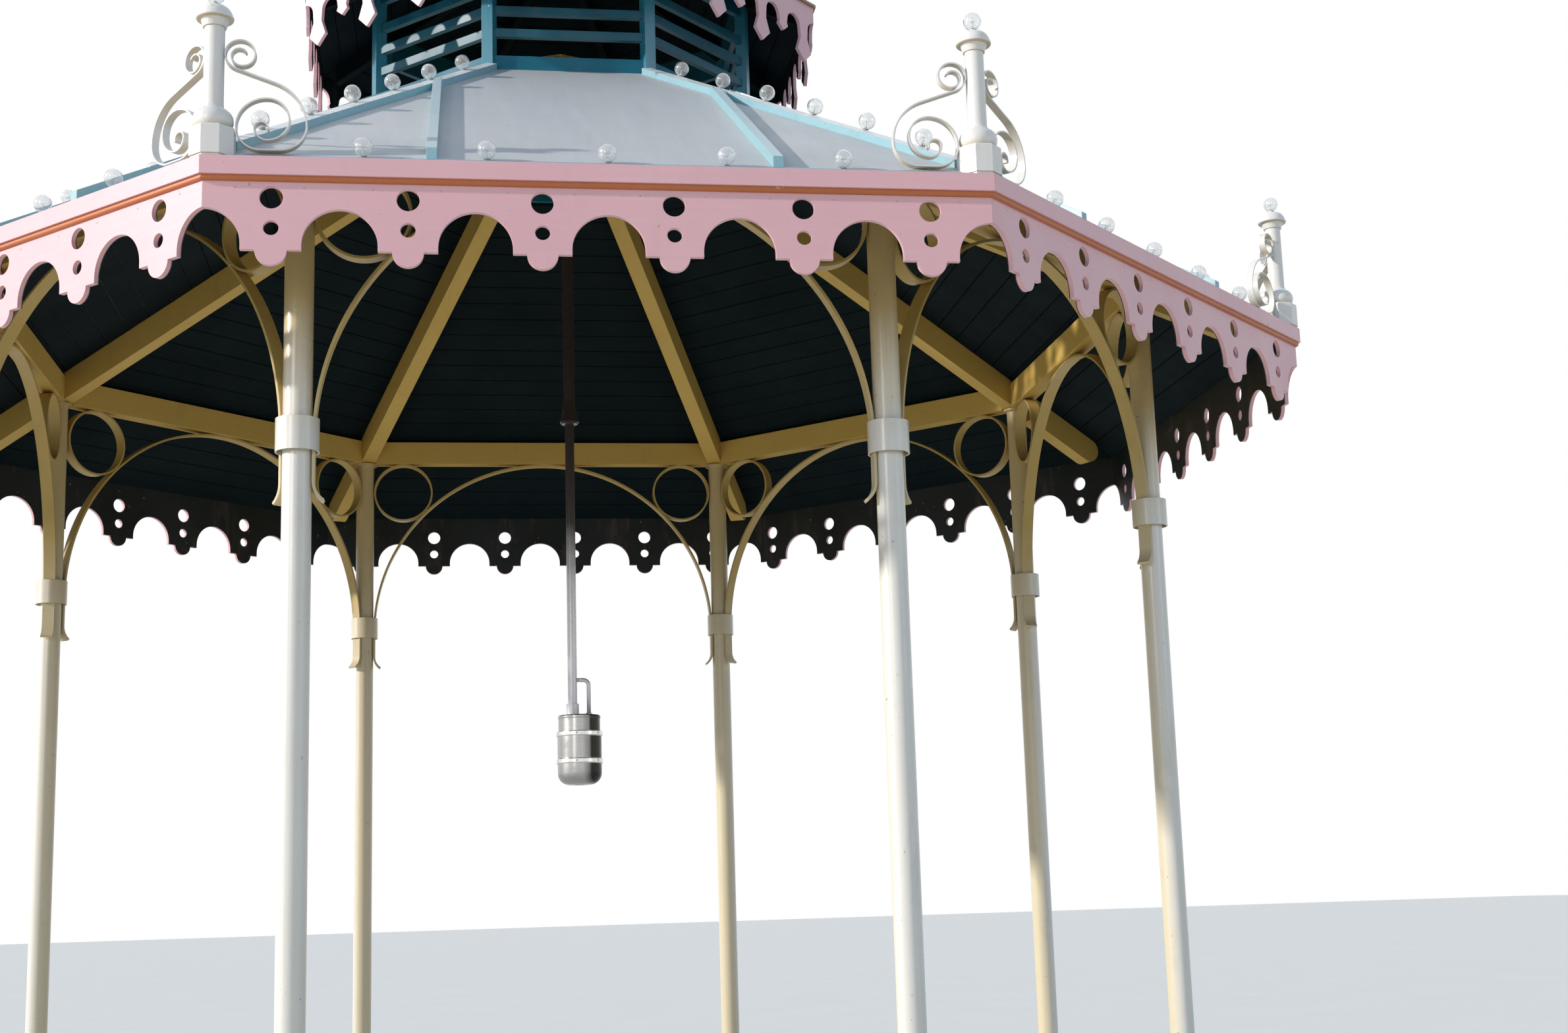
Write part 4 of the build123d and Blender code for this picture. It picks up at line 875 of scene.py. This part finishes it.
# Tube along a path of points, with the same round section all the way
def tube(name, path, radius, segments=16):
    points, faces = [], []
    for i, spot in enumerate(path):
        before, after = path[max(i - 1, 0)], path[min(i + 1, len(path) - 1)]
        along = (after - before).normalized()
        side = Vector((0.0, 1.0, 0.0))
        across = side.cross(along).normalized()
        for j in range(segments):
            angle = 2 * math.pi * j / segments
            points.append(tuple(spot + radius * (math.cos(angle) * side + math.sin(angle) * across)))
    for i in range(len(path) - 1):
        for j in range(segments):
            k = (j + 1) % segments
            faces.append((i * segments + k, i * segments + j, (i + 1) * segments + j, (i + 1) * segments + k))
    faces.append(tuple(range(segments)))
    faces.append(tuple((len(path) - 1) * segments + j for j in reversed(range(segments))))
    return meshObject(name, points, faces, smooth=True)


# Hanging canister: pressed bottom, two beads with screws, a lipped lid and the bent stay beside the pipe
def buildCanister():
    look = {
        "x": 0.063, "radius": 0.114, "neckR": 0.108, "round": 0.060, "height": 0.358,
        "arcSteps": 8, "beadHalf": 0.0125, "screws": 6, "firstScrew": 20, "screwFoot": 0.0057, "seed": 4,
    }
    profile = [(0.0, 0.0022), (0.026, 0.0022), (0.029, 0.0004), (look["radius"] - look["round"], 0.0)]
    quarter = [math.radians(90 * (i + 1) / look["arcSteps"]) for i in range(look["arcSteps"])]
    for angle in quarter:
        reach = look["radius"] - look["round"] + look["round"] * math.sin(angle)
        profile.append((reach, look["round"] * (1 - math.cos(angle))))
    top = look["height"]
    neck = look["neckR"]
    half = look["beadHalf"]
    bead = [(0.0, -half), (0.0042, -0.0120), (0.0058, -0.0090), (0.0058, 0.0090), (0.0042, 0.0120)]
    for middle, after in zip(canisterBands, (look["radius"], neck)):
        profile += [(look["radius"] + out, middle + rise) for out, rise in bead]
        profile.append((after, middle + half))
    profile += [(neck, top - 0.018), (neck + 0.0022, top - 0.016), (neck + 0.0022, top - 0.006)]
    profile += [(neck - 0.001, top - 0.0015), (neck - 0.006, top), (0.040, top)]
    profile += [(0.038, top - 0.001), (0.0, top - 0.001)]
    body = lathe("canister", profile, 64, sharp=28.0)
    place = [((look["x"], 0.0, canisterLow), (0.0, 0.0, 1.0), 0.0)]
    scatter("canisterBody", body, place, "silverMetal", replaced=("pendant_canister",))
    screw = dome("screw", 0.0052, 0.0020, 12)
    places = []
    for band in canisterBands:
        for j in range(look["screws"]):
            angle = math.radians(look["firstScrew"] + 360 / look["screws"] * j)
            axis = (math.cos(angle), math.sin(angle), 0.0)
            reach = look["radius"] + look["screwFoot"]
            places.append(((look["x"] + reach * axis[0], reach * axis[1], canisterLow + band), axis, 0.0))
    scatter("canisterScrews", screw, places, "zincBolt", anyTurn, 0.0, look["seed"])
    bar = {
        "start": 0.0545, "x": 0.114, "z": 2.526, "bend": 0.028, "radius": 0.0108,
        "foot": 0.0004, "nutTurn": 0.4,
    }
    straight = bar["x"] - bar["bend"]
    path = [Vector((bar["start"], 0.0, bar["z"])), Vector((straight, 0.0, bar["z"]))]
    for angle in quarter:
        height = bar["z"] - bar["bend"] * (1 - math.cos(angle))
        path.append(Vector((straight + bar["bend"] * math.sin(angle), 0.0, height)))
    path.append(Vector((bar["x"], 0.0, canisterLow + top + bar["foot"])))
    stay = tube("stay", path, bar["radius"])
    scatter("canisterStay", stay, [((0.0, 0.0, 0.0), (0.0, 0.0, 1.0), 0.0)], "palePipe")
    nut = nutMesh("stayNut", 0.034, 0.0100, 0.0109, 0.0150)
    place = [((bar["x"], 0.0, canisterLow + top), (0.0, 0.0, 1.0), bar["nutTurn"])]
    scatter("stayNuts", nut, place, "zincBolt", 0.0, 0.0, look["seed"])


buildCanister()
print("stage: canister")


# 1 for rays that come straight from the view, or through gloss and glass
def seenDirectly(tree):
    path = node(tree, "ShaderNodeLightPath").outputs
    bounced = mathNode(tree, "MAXIMUM", path["Is Glossy Ray"], path["Is Transmission Ray"])
    return mathNode(tree, "MAXIMUM", path["Is Camera Ray"], bounced)


# Pale floor and white surround
def buildStage():
    look = {
        "halfWidth": 90, "front": -60, "back": 160, "rough": 0.8,
        "pale": (0.98, 0.89, 0.81), "paler": (1.0, 0.91, 0.83), "bounced": (0.78, 0.67, 0.52),
        "sky": (0.45, 0.71, 1.0, 1.0), "skyPower": 0.50,
    }
    wide, front, back = look["halfWidth"], look["front"], look["back"]
    corners = [(-wide, front, 0), (wide, front, 0), (wide, back, 0), (-wide, back, 0)]
    floor = meshObject("floor", corners, [(0, 1, 2, 3)])
    bpy.context.scene.collection.objects.link(floor)
    mat, tree, shader = newMaterial("paleFloor")
    coords = node(tree, "ShaderNodeTexCoord").outputs["Object"]
    patches = ramp(tree, noise(tree, coords, 0.8, 4.0), 0.3, 0.7)
    pale = mix(tree, patches, look["pale"], look["paler"])
    tree.links.new(mix(tree, seenDirectly(tree), look["bounced"], pale), shader.inputs["Base Color"])
    shader.inputs["Roughness"].default_value = look["rough"]
    floor.data.materials.append(mat)
    world = bpy.data.worlds.new("surround")
    bpy.context.scene.world = world
    world.use_nodes = True
    tree = world.node_tree
    tree.nodes.clear()
    out = node(tree, "ShaderNodeOutputWorld")
    light = node(tree, "ShaderNodeBackground")
    light.inputs["Color"].default_value = look["sky"]
    light.inputs["Strength"].default_value = look["skyPower"]
    white = node(tree, "ShaderNodeBackground")
    white.inputs["Color"].default_value = (1.0, 1.0, 1.0, 1.0)
    blend = node(tree, "ShaderNodeMixShader")
    tree.links.new(seenDirectly(tree), blend.inputs[0])
    tree.links.new(light.outputs[0], blend.inputs[1])
    tree.links.new(white.outputs[0], blend.inputs[2])
    tree.links.new(blend.outputs[0], out.inputs["Surface"])


# Light at a place, turned toward its aim
def addLight(name, kind, look):
    data = bpy.data.lights.new(name, kind)
    if kind == "AREA":
        data.shape = "RECTANGLE"
        data.size, data.size_y = look["size"]
    else:
        data.angle = math.radians(look["spread"])
    data.energy = look["power"]
    data.color = look["color"]
    light = bpy.data.objects.new(name, data)
    light.location = look["place"]
    light.rotation_mode = "QUATERNION"
    light.rotation_quaternion = (Vector(look["aim"]) - Vector(look["place"])).to_track_quat("-Z", "Y")
    bpy.context.scene.collection.objects.link(light)


# Low sun from the left, a cool card on the right and a warm card in front on the left
def buildLights():
    sun = {"azimuth": math.radians(190.6), "height": math.radians(20), "distance": 20}
    sunPlace = sun["distance"] * Vector((
        math.cos(sun["azimuth"]) * math.cos(sun["height"]),
        math.sin(sun["azimuth"]) * math.cos(sun["height"]),
        math.sin(sun["height"]),
    ))
    addLight("keyLight", "SUN", {
        "place": sunPlace, "aim": (0, 0, 0), "power": 3.4, "color": (1.0, 0.955, 0.89), "spread": 1.5,
    })
    addLight("fillLight", "AREA", {
        "place": (15, -12, 6), "aim": (0, 0, 3.4), "power": 120, "color": (0.85, 0.92, 1.0), "size": (5, 4),
    })
    addLight("leftCard", "AREA", {
        "place": (-8, -14, 6), "aim": (0, 0, 3.6), "power": 240, "color": (1.0, 0.95, 0.90), "size": (2, 3),
    })


buildStage()
buildLights()


# Camera from the photograph: place, focal length and picture width in its pixels, angles
def buildCamera():
    view = {
        "place": (-0.537, -10.840, 1.352), "focal": 3149.4, "width": 2380.0,
        "yaw": 8.971, "pitch": 10.536, "roll": -0.03089,
    }
    data = bpy.data.cameras.new("camera")
    data.sensor_width = 36.0
    data.lens = data.sensor_width * view["focal"] / view["width"]
    data.clip_end = 300.0
    yaw, rise, roll = math.radians(view["yaw"]), math.radians(view["pitch"]), view["roll"]
    ahead = Vector((math.sin(yaw) * math.cos(rise), math.cos(yaw) * math.cos(rise), math.sin(rise)))
    right = Vector((math.cos(yaw), -math.sin(yaw), 0.0))
    up = right.cross(ahead)
    rightRolled = math.cos(roll) * right + math.sin(roll) * up
    upRolled = math.cos(roll) * up - math.sin(roll) * right
    camera = bpy.data.objects.new("camera", data)
    basis = Matrix((rightRolled, upRolled, -ahead)).transposed()
    camera.matrix_world = Matrix.Translation(view["place"]) @ basis.to_4x4()
    bpy.context.scene.collection.objects.link(camera)
    bpy.context.scene.camera = camera


buildCamera()
bpy.context.scene.view_settings.view_transform = "Standard"
print("stage: light and camera")
